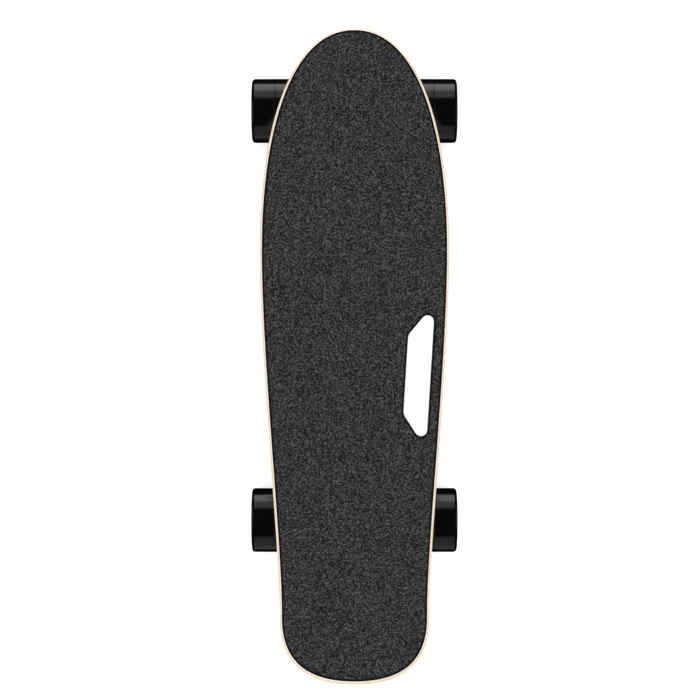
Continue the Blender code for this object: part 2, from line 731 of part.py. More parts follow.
def hex_nut(name, radius, thread_radius, low, length, place, on=None):
    nut = rod(name, radius, low, low + length, "steel", place, on, steps=6)
    bore = rod(f"{name}_bore", thread_radius + GAP, low - length, low + 2 * length, "steel", place)
    combine(nut, "DIFFERENCE", bore)


def make_pivot_cup(end):
    cup_end = PIVOT_REACH + GAP + PIVOT_CUP_END
    mouth = PIVOT_REACH - PIVOT_CUP_DEPTH
    inside = PIVOT_PIN_RADIUS + GAP
    profile = [(0, cup_end), (PIVOT_CUP_RADIUS, cup_end), (PIVOT_CUP_RADIUS, mouth)]
    profile += [(inside, mouth), (inside, PIVOT_REACH + GAP), (0, PIVOT_REACH + GAP)]
    turned(f"{end}_pivot_cup", profile, "rubber", steering_place(end))


def make_hanger(end):
    """The beam with its ring, shoulders and pivot pin. Its own frame is the kingpin's."""
    place = kingpin_place(end)
    on = f"{end}_hanger"
    body(on, steering_place(end))
    axle = Matrix.Translation((0, AXLE_AHEAD, -AXLE_BELOW)) @ Matrix.Rotation(math.pi / 2, 4, "Y")
    # The rear truck is turned round, so the motor at world +X is at this frame's -X.
    low = -SOCKET_END if end == "rear" else -HANGER_HALF
    hanger = rod(on, BEAM_RADIUS, low, HANGER_HALF, "cast_alloy", place @ axle, on)

    pivot = Matrix.Rotation(-math.pi / 2, 4, "X")
    base = circle(PIVOT_BASE_RADIUS, pivot @ Matrix.Translation((0, 0, PIVOT_BASE)), SMALL_ROUND)
    slim = BEAM_RADIUS - CHAMFER

    def across(spread):
        """The beam's round section at both ends of a stretch of it."""
        ends = (axle @ Matrix.Translation((0, 0, side * spread)) for side in (-1, 1))
        return [p for end_place in ends for p in circle(slim, end_place, SMALL_ROUND)]

    shoulders = hull(base + across(SHOULDER_SPREAD))
    combine(hanger, "UNION", put(f"{end}_shoulders", mesh_of("hull", shoulders), "steel", place))
    near = RING_HOLE_RADIUS + 2 * CHAMFER
    ring_side = [
        p for z in (-1, 1) for p in corners(WEB_HALF, (RING_RADIUS - near) / 2, z * (RING_HALF - CHAMFER))
    ]
    ring_side = [p + Vector((0, (RING_RADIUS + near) / 2, 0)) for p in ring_side]
    web = hull(ring_side + across(WEB_HALF) + [p * INSIDE for p in base])
    combine(hanger, "UNION", put(f"{end}_web", mesh_of("hull", web), "steel", place))
    ring = rod(f"{end}_ring", RING_RADIUS, -RING_HALF, RING_HALF, "steel", place)
    combine(hanger, "UNION", ring)
    pin = PIVOT_PIN_RADIUS
    profile = [(0, PIVOT_REACH), (pin - 2 * CHAMFER, PIVOT_REACH), (pin, PIVOT_REACH - 2 * CHAMFER)]
    profile += [(pin, PIVOT_PIN_START), (PIVOT_BASE_RADIUS - CHAMFER, PIVOT_BASE - CHAMFER)]
    root = PIVOT_BASE - PIVOT_BASE_RADIUS
    profile += [(PIVOT_BASE_RADIUS - CHAMFER, root), (0, root)]
    pivot_pin = turned(f"{end}_pin", profile, "steel", steering_place(end))

    pocket_radius = BUSHING_RADIUS + 2 * GAP
    pocket = rod(f"{end}_bushing_pocket", pocket_radius, -2 * AXLE_BELOW, -RING_HALF, "steel", place)
    hole = rod(f"{end}_ring_hole", RING_HOLE_RADIUS, -RING_RADIUS, RING_RADIUS, "steel", place)
    if end == "rear":
        socket = rod("motor_socket", SOCKET_RADIUS, low, low + SOCKET_LENGTH, "steel", place @ axle)
        combine(hanger, "UNION", socket)
    combine(hanger, "DIFFERENCE", pocket)
    combine(hanger, "DIFFERENCE", hole)
    bore_low = -REAR_AXLE_PAST_MIDDLE - GAP if end == "rear" else 2 * low
    bore = rod(f"{end}_axle_bore", AXLE_RADIUS + GAP, bore_low, 2 * HANGER_HALF, "steel", place @ axle)
    combine(hanger, "DIFFERENCE", bore)
    if end == "rear":
        floor = low + SOCKET_LENGTH - GAP
        shaft_bore = rod("shaft_bore", SHAFT_RADIUS + GAP, 2 * low, floor, "steel", place @ axle)
        combine(hanger, "DIFFERENCE", shaft_bore)
    combine(hanger, "UNION", pivot_pin)


def make_axle(end):
    far = WHEEL_X + BEARING_FAR + SPEED_WASHER + AXLE_NUT_LENGTH + AXLE_END
    other = REAR_AXLE_PAST_MIDDLE if end == "rear" else far
    thin = AXLE_RADIUS - CHAMFER
    profile = [(0, other), (thin, other), (AXLE_RADIUS, other - CHAMFER)]
    profile += [(AXLE_RADIUS, CHAMFER - far), (thin, -far), (0, -far)]
    place = Matrix.Translation((0, TRUCK_ENDS[end][0], AXLE_Z)) @ Matrix.Rotation(math.pi / 2, 4, "Y")
    turned(f"{end}_axle", profile, "steel", place, f"{end}_hanger", steps=SMALL_ROUND)


def make_bolts():
    """Countersunk bolts through deck, riser and baseplate, each with its lock nut tight on it."""
    nut_top = -(DECK_THICKNESS + RISER_THICKNESS + PAD_THICKNESS + 3 * GAP)
    tip = nut_top - BOLT_NUT - 2 * CHAMFER
    top = -BOLT_HEAD_SUNK
    profile = [(0, top), (BOLT_HEAD_RADIUS, top), (BOLT_RADIUS, top - BOLT_HEAD)]
    profile += [(BOLT_RADIUS, tip + CHAMFER), (BOLT_RADIUS - CHAMFER, tip), (0, tip)]
    pattern = turned("bolt_pattern", profile, "black_steel", Matrix(), steps=SMALL_ROUND)
    nut = rod("bolt_nut", BOLT_NUT_RADIUS, nut_top - BOLT_NUT, nut_top, "steel", Matrix(), steps=6)
    combine(pattern, "UNION", nut)
    shared = settled(as_tool(pattern))
    for i, (end, x, y) in enumerate(bolt_places()):
        put(f"{end}_truck_bolt_{i % 4 + 1}", shared, "black_steel", Matrix.Translation((x, y, DECK_TOP_Z)))


# ---------------------------------------------------------------- wheels


def make_wheel(name, side, end):
    """A urethane tyre on a nylon core with two bearings, and the nut that keeps it on its axle."""
    place = out_along_x(side, WHEEL_X, TRUCK_ENDS[end][0], AXLE_Z)
    body(name, place)
    half = WHEEL_WIDTH / 2
    bond = CORE_RADIUS + GAP
    root = half - TYRE_DISH
    lip_start = WHEEL_RADIUS - TYRE_LIP_RADIUS - TYRE_FACE
    right = [(bond, root), (bond + 2 * CHAMFER, root + CHAMFER), (lip_start, half)] + tyre_lip()
    turned(f"{name}_tyre", right + mirrored(right), "urethane", place, name, FINE_ROUND, ring=True)

    seat = BEARING_RADIUS + GAP
    lip_x = BEARING_FAR + CHAMFER
    inner = BEARING_RADIUS - CORE_SHOULDER
    shoulder = BEARING_NEAR - GAP
    core = [(inner, shoulder), (seat, shoulder), (seat, lip_x), (seat + CORE_SHOULDER, lip_x)]
    core += [(CORE_RADIUS - CHAMFER, root - CHAMFER), (CORE_RADIUS, root - 2 * CHAMFER)]
    turned(f"{name}_core", core + mirrored(core), "nylon", place, name, ROUND, ring=True)

    for where, sign in (("inner", -1), ("outer", 1)):
        high, low = sorted((sign * BEARING_NEAR, sign * BEARING_FAR), reverse=True)
        bore = AXLE_RADIUS + GAP
        ring = [(bore, high), (BEARING_RADIUS, high), (BEARING_RADIUS, low), (bore, low)]
        turned(f"{name}_{where}_bearing", ring, "steel", place, name, ring=True)
    nut_x = BEARING_FAR + SPEED_WASHER
    hex_nut(f"{name}_axle_nut", AXLE_NUT_RADIUS, AXLE_RADIUS, nut_x, AXLE_NUT_LENGTH, place, f"{end}_hanger")


def tyre_lip():
    """The rounded edge of a tyre, from its side face to its tread."""
    centre = WHEEL_RADIUS - TYRE_LIP_RADIUS, WHEEL_WIDTH / 2 - TYRE_LIP_RADIUS
    turns = (math.pi / 2 * step / LIP_STEPS for step in range(LIP_STEPS + 1))
    radius = TYRE_LIP_RADIUS
    return [(centre[0] + radius * math.sin(a), centre[1] + radius * math.cos(a)) for a in turns]


def mirrored(profile):
    """The other half of a profile that is the same on both sides of z = 0."""
    return [(radius, -height) for radius, height in reversed(profile)]


def make_motor_wheel():
    """The drive wheel: a urethane sleeve on a motor can that turns round a fixed stator."""
    name = "rear_motor_wheel"
    place = out_along_x(1, WHEEL_X, REAR_AXLE_Y, AXLE_Z)
    body(name, place)
    half = WHEEL_WIDTH / 2
    sleeve = [(CAN_RADIUS + GAP, half - CHAMFER), (CAN_RADIUS + 2 * CHAMFER, half)] + tyre_lip()
    turned("motor_tyre", sleeve + mirrored(sleeve), "urethane", place, name, FINE_ROUND, ring=True)

    outer = half - CAN_SET_BACK
    inner = COVER_X
    bore = CAN_RADIUS - CAN_WALL
    end_wall = outer - CAN_END
    shaft_end = end_wall - CAN_END
    can = [(0, outer), (CAN_RADIUS - CAN_WALL, outer), (CAN_RADIUS, outer - 2 * CHAMFER)]
    can += [(CAN_RADIUS, inner), (bore, inner), (bore, end_wall)]
    can += [(SHAFT_NECK_RADIUS, end_wall), (SHAFT_RADIUS, shaft_end + CHAMFER), (0, shaft_end + CHAMFER)]
    turned("motor_can", can, "cast_alloy", place, name, FINE_ROUND)
    disc_bore = SHAFT_NECK_RADIUS + GAP
    disc = bore - GAP
    high = COVER_X + COVER_THICKNESS
    cover = [(disc_bore, high), (disc, high), (disc, COVER_X), (disc_bore, COVER_X)]
    turned("motor_cover", cover, "cast_alloy", place, name, ring=True)

    stator_high = shaft_end - 2 * CHAMFER - GAP
    stator_low = stator_high - STATOR_LENGTH
    radius = bore - AIR_GAP
    hub = SHAFT_RADIUS + GAP
    face = radius - WINDING_EDGE
    core = [(hub, stator_high), (face, stator_high), (radius, stator_high - WINDING_EDGE)]
    core += [(radius, stator_low + WINDING_EDGE), (face, stator_low), (hub, stator_low)]
    turned("motor_stator", core, "copper", place, "rear_hanger", ring=True)

    neck_end = stator_low - GAP
    collar_low = COLLAR_X - COLLAR_LENGTH
    foot = collar_low - SOCKET_LENGTH + 2 * CHAMFER
    shaft = [(0, shaft_end), (SHAFT_RADIUS, shaft_end), (SHAFT_RADIUS, neck_end)]
    shaft += [(SHAFT_NECK_RADIUS, neck_end), (SHAFT_NECK_RADIUS, COLLAR_X), (COLLAR_RADIUS, COLLAR_X)]
    shaft += [(COLLAR_RADIUS, collar_low), (SHAFT_RADIUS, collar_low), (SHAFT_RADIUS, foot), (0, foot)]
    motor_shaft = turned("motor_shaft", shaft, "steel", place, "rear_hanger")
    port = rod("cable_port", CABLE_PORT_RADIUS, SHAFT_RADIUS, CABLE_PORT_REACH, "steel", cable_port_place())
    combine(motor_shaft, "UNION", port)


def cable_port_place():
    """On the motor shaft's axis, in the middle of its collar, with +Z out of the cable port."""
    x = WHEEL_X + COLLAR_X - COLLAR_LENGTH / 2
    lean = Matrix.Rotation(-CABLE_PORT_ANGLE, 4, "X")
    return Matrix.Translation((x, REAR_AXLE_Y, AXLE_Z)) @ lean


def smooth_route(points, steps):
    """Points read from a smooth curve through the route's own points."""
    ends = [2 * points[0] - points[1], *points, 2 * points[-1] - points[-2]]
    route = []
    for before, start, end, after in zip(ends, ends[1:], ends[2:], ends[3:]):
        leave, arrive = (end - before) / 6, (after - start) / 6
        route += interpolate_bezier(start, start + leave, end - arrive, end, steps + 1)[:-1]
    return route + [points[-1]]


def make_motor_cable():
    mouth = cable_port_place() @ Vector((0, 0, CABLE_PORT_REACH + GAP))
    entry = cable_entry() - Vector((0, GAP, 0))
    straight = cable_port_place() @ Vector((0, 0, CABLE_PORT_REACH + GAP + CABLE_STRAIGHT))
    route = [mouth, straight] + [mouth + Vector(step) for step in CABLE_WAY]
    before_wall = entry + Vector((0, -2 * CABLE_RADIUS, 0))
    route += [(route[-1] + before_wall) / 2, before_wall, entry]
    points = smooth_route(route, CABLE_SMOOTH)
    data = bpy.data.curves.new("motor_cable", "CURVE")
    data.dimensions = "3D"
    data.bevel_depth = CABLE_RADIUS
    data.bevel_resolution = 2
    data.use_fill_caps = True
    spline = data.splines.new("POLY")
    spline.points.add(len(points) - 1)
    for point, place in zip(spline.points, points):
        point.co = (*place, 1)
    put("motor_cable", data, "rubber", Matrix())


# ---------------------------------------------------------------- power pack


def tray_ends():
    """The tray's rear and front walls, set between the two baseplates."""
    reach = PAD_INNER + FLANGE_FROM_BASEPLATE + FLANGE_WIDTH
    return REAR_AXLE_Y + reach, FRONT_AXLE_Y - reach


def flange_half_width():
    """The flange stays clear of the hand hole, so the tray is as wide as the hole leaves room for."""
    return min(p.x for p in handle_outline()) - FLANGE_FROM_HANDLE


def tray_half_width():
    return flange_half_width() - FLANGE_WIDTH


def tray_middle():
    return sum(tray_ends()) / 2


def make_tray():
    """An open shell with a flange round its mouth, screwed up against the deck."""
    rear, front = tray_ends()
    half_x, half_y = tray_half_width(), (front - rear) / 2
    bm = block((-half_x, rear, TRAY_BOTTOM_Z), (half_x, front, FLANGE_Z), TRAY_CORNER, TRAY_CORNER_STEPS)
    lids = [f for f in bm.faces if f.calc_center_median().z > FLANGE_Z - MERGE]
    bmesh.ops.delete(bm, geom=lids, context="FACES_ONLY")
    floor = [e for e in bm.edges if max(v.co.z for v in e.verts) < TRAY_BOTTOM_Z + MERGE]
    bmesh.ops.bevel(bm, geom=floor, offset=TRAY_EDGE, segments=3, profile=0.5, affect="EDGES", material=-1)
    rim = [e for e in bm.edges if e.is_boundary]
    made = bmesh.ops.extrude_edge_only(bm, edges=rim)["geom"]
    for vertex in (v for v in made if isinstance(v, bmesh.types.BMVert)):
        centre_x = math.copysign(half_x - TRAY_CORNER, vertex.co.x)
        centre_y = tray_middle() + math.copysign(half_y - TRAY_CORNER, vertex.co.y - tray_middle())
        out = (vertex.co.xy - Vector((centre_x, centre_y))).normalized() * FLANGE_WIDTH
        vertex.co += Vector((out.x, out.y, 0))
    bmesh.ops.recalc_face_normals(bm, faces=bm.faces)
    if sum((f.normal.z * f.calc_area() for f in bm.faces)) > 0:
        bmesh.ops.reverse_faces(bm, faces=bm.faces)
    tray = put("enclosure_tray", mesh_of("tray", bm), "nylon", Matrix())
    shell = tray.modifiers.new("Wall", "SOLIDIFY")
    shell.thickness = TRAY_WALL
    shell.offset = -1
    shell.use_even_offset = True

    for name, (place, radius) in wall_holes().items():
        reach = 3 * TRAY_WALL
        combine(tray, "DIFFERENCE", rod(f"{name}_hole", radius + GAP, -reach, reach, "nylon", place))
    slot = flat_plate("gauge_slot", [gauge_outline(GAUGE_STEM, GAP)], 6 * TRAY_WALL)
    slot_tool = put("gauge_slot", mesh_of("slot", slot), "nylon", control_place(GAUGE_FROM_REAR))
    combine(tray, "DIFFERENCE", slot_tool)


def cable_entry():
    """Where the motor cable passes the tray's rear wall, near its corner on the motor's side."""
    return Vector((tray_half_width() - CABLE_ENTRY_FROM_SIDE, tray_ends()[0], FLANGE_Z - CABLE_ENTRY_DROP))


def wall_holes():
    cable = Matrix.Translation(cable_entry())
    return {
        "bezel": (control_place(BUTTON_FROM_REAR), BEZEL_BARREL_RADIUS),
        "charge": (control_place(CHARGE_FROM_REAR), CHARGE_BARREL_RADIUS),
        "cable": (cable @ Matrix.Rotation(math.pi / 2, 4, "X"), CABLE_RADIUS),
    }


def control_place(from_rear):
    """On the tray's side wall away from the handle, with +Z out of the wall."""
    return out_along_x(-1, tray_half_width(), tray_ends()[0] + from_rear, CONTROL_Z)


def make_gasket():
    rear, front = tray_ends()
    middle = (0, tray_middle())
    half_y = (front - rear) / 2
    outer_grow = FLANGE_WIDTH - GASKET_INSET
    inner = rounded_rectangle(tray_half_width(), half_y, TRAY_CORNER, middle)
    outer = rounded_rectangle(
        tray_half_width() + outer_grow, half_y + outer_grow, TRAY_CORNER + outer_grow, middle
    )
    bm = flat_plate("enclosure_gasket", [outer, inner], GASKET_THICKNESS)
    place = Matrix.Translation((0, 0, FLANGE_TOP_Z + GAP + GASKET_THICKNESS / 2))
    put("enclosure_gasket", mesh_of("gasket", bm), "rubber", place)


def make_battery_and_controller():
    rear, front = tray_ends()
    floor = TRAY_BOTTOM_Z + TRAY_WALL + PACK_CLEARANCE
    split = rear + TRAY_WALL + PACK_SPACING + CONTROLLER_LENGTH
    half_x = tray_half_width() - TRAY_WALL - PACK_CLEARANCE
    low = (-half_x, split + PACK_SPACING, floor)
    high = (half_x, front - TRAY_WALL - PACK_CLEARANCE, floor + BATTERY_HEIGHT)
    bm = block(low, high)
    edges = bm.edges[:]
    bmesh.ops.bevel(bm, geom=edges, offset=TRAY_EDGE, segments=3, profile=0.5, affect="EDGES", material=-1)
    put("battery_pack", mesh_of("battery", bm), "cell_wrap", Matrix())

    half = tray_half_width() - CONTROLLER_FROM_SIDE
    pitch = 2 * half / (2 * CONTROLLER_FINS - 1)
    outline = [Vector((half, 0)), Vector((-half, 0))]
    for fin in range(CONTROLLER_FINS):
        left = -half + 2 * fin * pitch
        outline += [Vector((left, CONTROLLER_HEIGHT)), Vector((left + pitch, CONTROLLER_HEIGHT))]
        if fin < CONTROLLER_FINS - 1:
            outline += [Vector((left + pitch, CONTROLLER_BASE)), Vector((left + 2 * pitch, CONTROLLER_BASE))]
    bm = flat_plate("motor_controller", [outline], CONTROLLER_LENGTH)
    middle = Matrix.Translation((0, split - CONTROLLER_LENGTH / 2, floor))
    place = middle @ Matrix.Rotation(math.pi / 2, 4, "X")
    put("motor_controller", mesh_of("controller", bm), "alloy", place)


def make_power_button():
    place = control_place(BUTTON_FROM_REAR)
    face = GAP + BEZEL_THICKNESS
    bore = BUTTON_RADIUS + GAP
    bezel = [(bore, face), (BEZEL_RADIUS - CHAMFER, face), (BEZEL_RADIUS, face - CHAMFER)]
    bezel += [(BEZEL_RADIUS, GAP), (BEZEL_BARREL_RADIUS, GAP)]
    bezel += [(BEZEL_BARREL_RADIUS, -CONTROL_BARREL), (bore, -CONTROL_BARREL)]
    turned("power_button_bezel", bezel, "alloy", place, ring=True)
    body("power_button", place)
    top = face + BUTTON_PROUD
    button = [(0, top), (BUTTON_RADIUS - CHAMFER, top), (BUTTON_RADIUS, top - CHAMFER)]
    button += [(BUTTON_RADIUS, -CONTROL_BARREL + CHAMFER), (0, -CONTROL_BARREL + CHAMFER)]
    turned("power_button", button, "nylon", place, "power_button")


def make_charge_port():
    """A round socket with a plate that also carries the hinge of its rubber cap."""
    place = control_place(CHARGE_FROM_REAR)
    # In this frame +Y is the board's +Y and +X is the board's +Z.
    face = GAP + CHARGE_PLATE
    round_end = circle(CHARGE_RADIUS, Matrix())
    hinge_end = circle(2 * CAP_HINGE_RADIUS, Matrix.Translation((0, CAP_HINGE_REACH, 0)), SMALL_ROUND)
    outline = round_end + hinge_end
    plate = hull([p + Vector((0, 0, z)) for z in (GAP, face) for p in outline])
    port = put("charge_port", mesh_of("plate", plate), "nylon", place)
    barrel = rod("charge_barrel", CHARGE_BARREL_RADIUS, -CONTROL_BARREL, face - CHAMFER, "nylon", place)
    combine(port, "UNION", barrel)
    floor = face - CHARGE_SOCKET_DEPTH
    pin = face - CHAMFER
    well = [(0, pin), (CHARGE_PIN_RADIUS, pin), (CHARGE_PIN_RADIUS, floor), (CHARGE_SOCKET_RADIUS, floor)]
    well += [(CHARGE_SOCKET_RADIUS, 2 * face), (0, 2 * face)]
    well.reverse()
    combine(port, "DIFFERENCE", turned("charge_socket", well, "nylon", place, steps=SMALL_ROUND))

    low = face + GAP
    hinge = Matrix.Translation((0, CAP_HINGE_REACH, low + CAP_HINGE_RADIUS))
    body("charge_port_cap", place @ hinge @ Matrix.Rotation(math.pi / 2, 4, "Y"))
    lid = [(0, low + CAP_THICKNESS), (CHARGE_RADIUS - 2 * CHAMFER, low + CAP_THICKNESS)]
    lid += [(CHARGE_RADIUS, low + CAP_THICKNESS - 2 * CHAMFER), (CHARGE_RADIUS, low), (0, low)]
    cap = turned("charge_port_cap", lid, "rubber", place, "charge_port_cap")
    barrel_place = place @ hinge @ Matrix.Rotation(math.pi / 2, 4, "Y")
    half = CAP_HINGE_HALF
    knuckle = rod("cap_knuckle", CAP_HINGE_RADIUS, -half, half, "rubber", barrel_place, steps=SMALL_ROUND)
    combine(cap, "UNION", knuckle)
    strap_half = CAP_HINGE_HALF - CHAMFER
    strap = block(
        (-strap_half, CHARGE_RADIUS / 2, low + CHAMFER / 2),
        (strap_half, CAP_HINGE_REACH, low + CAP_THICKNESS - CHAMFER),
    )
    combine(cap, "UNION", put("cap_strap", mesh_of("strap", strap), "rubber", place))


def gauge_outline(share, grow=0.0):
    """The lens's outline, or that share of it which passes through the wall."""
    half_y = GAUGE_HALF_LENGTH - GAUGE_HALF_HEIGHT * (1 - share) + grow
    half_x = GAUGE_HALF_HEIGHT * share + grow
    return rounded_rectangle(half_x, half_y, half_x * INSIDE)


def make_gauge():
    place = control_place(GAUGE_FROM_REAR)
    lens = flat_plate("battery_gauge", [gauge_outline(1.0)], GAUGE_THICKNESS)
    bmesh.ops.translate(lens, vec=(0, 0, GAP + GAUGE_THICKNESS / 2), verts=lens.verts)
    gauge = put("battery_gauge", mesh_of("lens", lens), "lens", place)
    depth = TRAY_WALL + GAP + GAUGE_THICKNESS / 2
    stem = flat_plate("gauge_stem", [gauge_outline(GAUGE_STEM)], depth)
    bmesh.ops.translate(stem, vec=(0, 0, depth / 2 - TRAY_WALL), verts=stem.verts)
    combine(gauge, "UNION", put("gauge_stem", mesh_of("stem", stem), "lens", place))


def main():
    clear_scene()
    make_materials()
    make_deck()
    make_grip_tape()
    for end in TRUCK_ENDS:
        make_riser(end)
        make_baseplate(end)
        make_kingpin_stack(end)
        make_pivot_cup(end)
        make_hanger(end)
        make_axle(end)
    make_bolts()
    make_wheel("front_left_wheel", -1, "front")
    make_wheel("front_right_wheel", 1, "front")
    make_wheel("rear_left_wheel", -1, "rear")
    make_motor_wheel()
    make_motor_cable()
    make_tray()
    make_gasket()
    make_battery_and_controller()
    make_power_button()
    make_charge_port()
    make_gauge()


main()
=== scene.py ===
"""Looks of the electric skateboard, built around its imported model.

Each operator makes one piece, or one group of like pieces, in the model's own frame: metres, +Z up, +Y
to the nose and +X to the side with the carry handle. Every new piece stands for the solids that it names.
"""

import json
import math

import bmesh
import bpy
from bpy.props import FloatProperty, FloatVectorProperty, IntProperty, PointerProperty
from mathutils import Matrix, Vector
from mathutils.geometry import interpolate_bezier


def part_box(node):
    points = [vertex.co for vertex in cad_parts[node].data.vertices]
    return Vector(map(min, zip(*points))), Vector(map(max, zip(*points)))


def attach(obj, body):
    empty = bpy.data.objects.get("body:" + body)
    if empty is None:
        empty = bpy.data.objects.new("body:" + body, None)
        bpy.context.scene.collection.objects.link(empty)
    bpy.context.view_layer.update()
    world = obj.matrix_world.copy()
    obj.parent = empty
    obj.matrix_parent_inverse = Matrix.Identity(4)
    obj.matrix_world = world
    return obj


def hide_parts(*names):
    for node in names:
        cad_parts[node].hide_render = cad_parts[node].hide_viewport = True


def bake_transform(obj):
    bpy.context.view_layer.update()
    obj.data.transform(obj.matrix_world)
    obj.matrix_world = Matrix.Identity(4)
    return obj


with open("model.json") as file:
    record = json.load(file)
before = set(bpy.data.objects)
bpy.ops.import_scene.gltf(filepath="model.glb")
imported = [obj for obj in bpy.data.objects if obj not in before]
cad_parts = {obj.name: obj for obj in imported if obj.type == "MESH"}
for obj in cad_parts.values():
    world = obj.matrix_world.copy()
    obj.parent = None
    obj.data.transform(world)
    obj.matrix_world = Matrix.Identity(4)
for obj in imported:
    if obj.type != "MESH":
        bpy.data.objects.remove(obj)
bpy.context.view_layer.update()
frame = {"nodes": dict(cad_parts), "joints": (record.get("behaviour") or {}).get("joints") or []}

bl_info = {
    "name": "Electric Skateboard Looks",
    "version": (1, 0, 0),
    "blender": (4, 5, 0),
    "location": "View3D > Sidebar > Skateboard",
    "description": "Makes the visible pieces, finishes and studio of an electric skateboard",
    "category": "Object",
}

JOINTS = {joint["name"]: joint for joint in frame["joints"]}
GAP = 0.0003  # between pieces that touch on the real board
MERGE = 0.000005  # points closer than this are one point
SOFT_ANGLE = math.radians(32)  # edges sharper than this are shaded sharp
FINE = 144  # faces round a wheel
ROUND = 72  # faces round a boss, a bushing or a nut
SMALL = 36  # faces round a screw or a cable
PLIES = 7
HEX = 6  # sides of a hexagon
HOLE = 20  # faces round a bolt's hole
QUARTER = math.pi / 2
TRUCKS = ("front", "rear")
TRUCK_BOLTS = 4  # in each truck
TRAY_FIT = 0.0002  # the moulded tray is this much lower than its solid
CONTROL_FACE = 0.0018  # how far the controls stand out of the tray's wall
CAP_HINGE = 0.0125  # from the charge socket's middle to its cap's hinge
PLAIN_WHEELS = ("front_left_wheel", "front_right_wheel", "rear_left_wheel")
MOTOR_WHEEL = "rear_motor_wheel"


# ---------------------------------------------------------------- sizes and colours


def length(name, value, description):
    """A size in metres."""
    return FloatProperty(
        name=name, description=description, default=value, min=0.0, unit="LENGTH", precision=5
    )


def colour(name, value, description):
    """A surface colour, in linear light."""
    return FloatVectorProperty(
        name=name, description=description, default=value, size=3, min=0.0, max=1.0, subtype="COLOR"
    )


def light(name, value, description):
    """The power of a studio light."""
    return FloatProperty(name=name, description=description, default=value, min=0.0, unit="POWER")


def count(name, value, least, description):
    """How many there are of something that repeats."""
    return IntProperty(name=name, description=description, default=value, min=least)


def slope(name, degrees, description):
    """An angle, given in degrees."""
    return FloatProperty(name=name, description=description, default=math.radians(degrees), subtype="ANGLE")


class DeckSizes(bpy.types.PropertyGroup):
    widest_from_nose: length("Widest from nose", 0.238, "From the nose to the widest place")
    shoulder_from_tail: length("Shoulder from tail", 0.0695, "From the tail to where its rounding starts")
    shoulder_half_width: length("Shoulder half width", 0.0801, "Half width where the tail starts to round")
    nose_tip: length("Nose tip", 0.073, "How far the nose runs flat across before it turns")
    nose_side: length("Nose side", 0.122, "How far the widest place runs straight towards the nose")
    waist_front: length("Waist front", 0.116, "How far the widest place runs straight towards the tail")
    waist_rear: length("Waist rear", 0.077, "How far the shoulder runs straight towards the nose")
    tail_side: length("Tail side", 0.0415, "How far the shoulder runs straight towards the tail")
    tail_tip: length("Tail tip", 0.0585, "How far the tail runs flat across before it turns")
    thickness: length("Thickness", 0.011, "Seven plies of maple, pressed together")
    edge_radius: length("Edge radius", 0.0046, "Rounding of the deck's edges")
    kick_radius: length("Kick radius", 0.150, "Radius of the bend before the kick tail")
    kick_angle: slope("Kick angle", 14, "Rise of the tail")
    kick_from_axle: length("Kick from axle", 0.0405, "From the rear axle to where the bend starts")
    grip_thickness: length("Grip thickness", 0.0011, "Thickness of the grip tape")
    grip_inset: length("Grip inset", 0.0026, "Bare maple left round the grip tape")
    edge_band: length("Pressed band", 0.0026, "Darker band along the grip tape's cut")


class HandleSizes(bpy.types.PropertyGroup):
    long_side: length("Long side", 0.1555, "Outer side of the hand hole")
    short_side: length("Short side", 0.085, "Inner side of the hand hole")
    width: length("Width", 0.0262, "Width of the hand hole")
    from_edge: length("From edge", 0.0150, "Maple left between the hand hole and the deck's edge")
    centre_back: length("Centre back", 0.022, "From the middle of the board back to the middle of the hole")
    tilt: slope("Tilt", 3.5, "Lean of the hand hole along the deck's edge")
    outer_radius: length("Outer radius", 0.0065, "Rounding of the two outer corners")
    inner_radius: length("Inner radius", 0.011, "Rounding of the two inner corners")


class WheelSizes(bpy.types.PropertyGroup):
    lip_radius: length("Lip radius", 0.0035, "Rounding of a tyre's edge")
    dish: length("Dish", 0.0125, "Depth of the hollow in a tyre's side")
    face: length("Face", 0.0042, "Flat ring inside the tyre's rounding")
    core_radius: length("Core radius", 0.0205, "Radius of the nylon core")
    bearing_radius: length("Bearing radius", 0.011, "Outside of a bearing")
    bearing_width: length("Bearing width", 0.007, "Width of a bearing")
    bearing_near: length("Bearing near", 0.005, "From the middle of the wheel to a bearing")
    axle_radius: length("Axle radius", 0.004, "Radius of an axle")
    thread_pitch: length("Thread pitch", 0.00125, "Distance between threads on an axle")
    can_wall: length("Can wall", 0.0024, "Wall of the motor can")
    can_end: length("Can end", 0.004, "End wall of the motor can")
    ribs: count("Core ribs", 8, 3, "Ribs in each side of a wheel's core")
    teeth: count("Stator teeth", 12, 3, "Wound teeth on the motor's stator")


class TruckSizes(bpy.types.PropertyGroup):
    cast_grain: length("Cast detail", 0.0008, "Smallest feature kept on a casting")
    kingpin_radius: length("Kingpin radius", 0.0048, "Radius of the kingpin")
    bushing_radius: length("Bushing radius", 0.0125, "Radius of a bushing")
    bushing_tip: length("Bushing tip", 0.0098, "Radius of the cone bushing's small end")
    ring_half: length("Ring half", 0.005, "Half thickness of the hanger's ring")
    bushing_length: length("Bushing length", 0.0105, "Length of a bushing")
    washer_radius: length("Washer radius", 0.0105, "Radius of the cupped washer")
    kingpin_nut: length("Kingpin nut", 0.0085, "Length of the kingpin's nut")
    bolt_radius: length("Bolt radius", 0.0025, "Radius of a truck bolt")
    bolt_head: length("Bolt head", 0.0048, "Radius of a truck bolt's head")


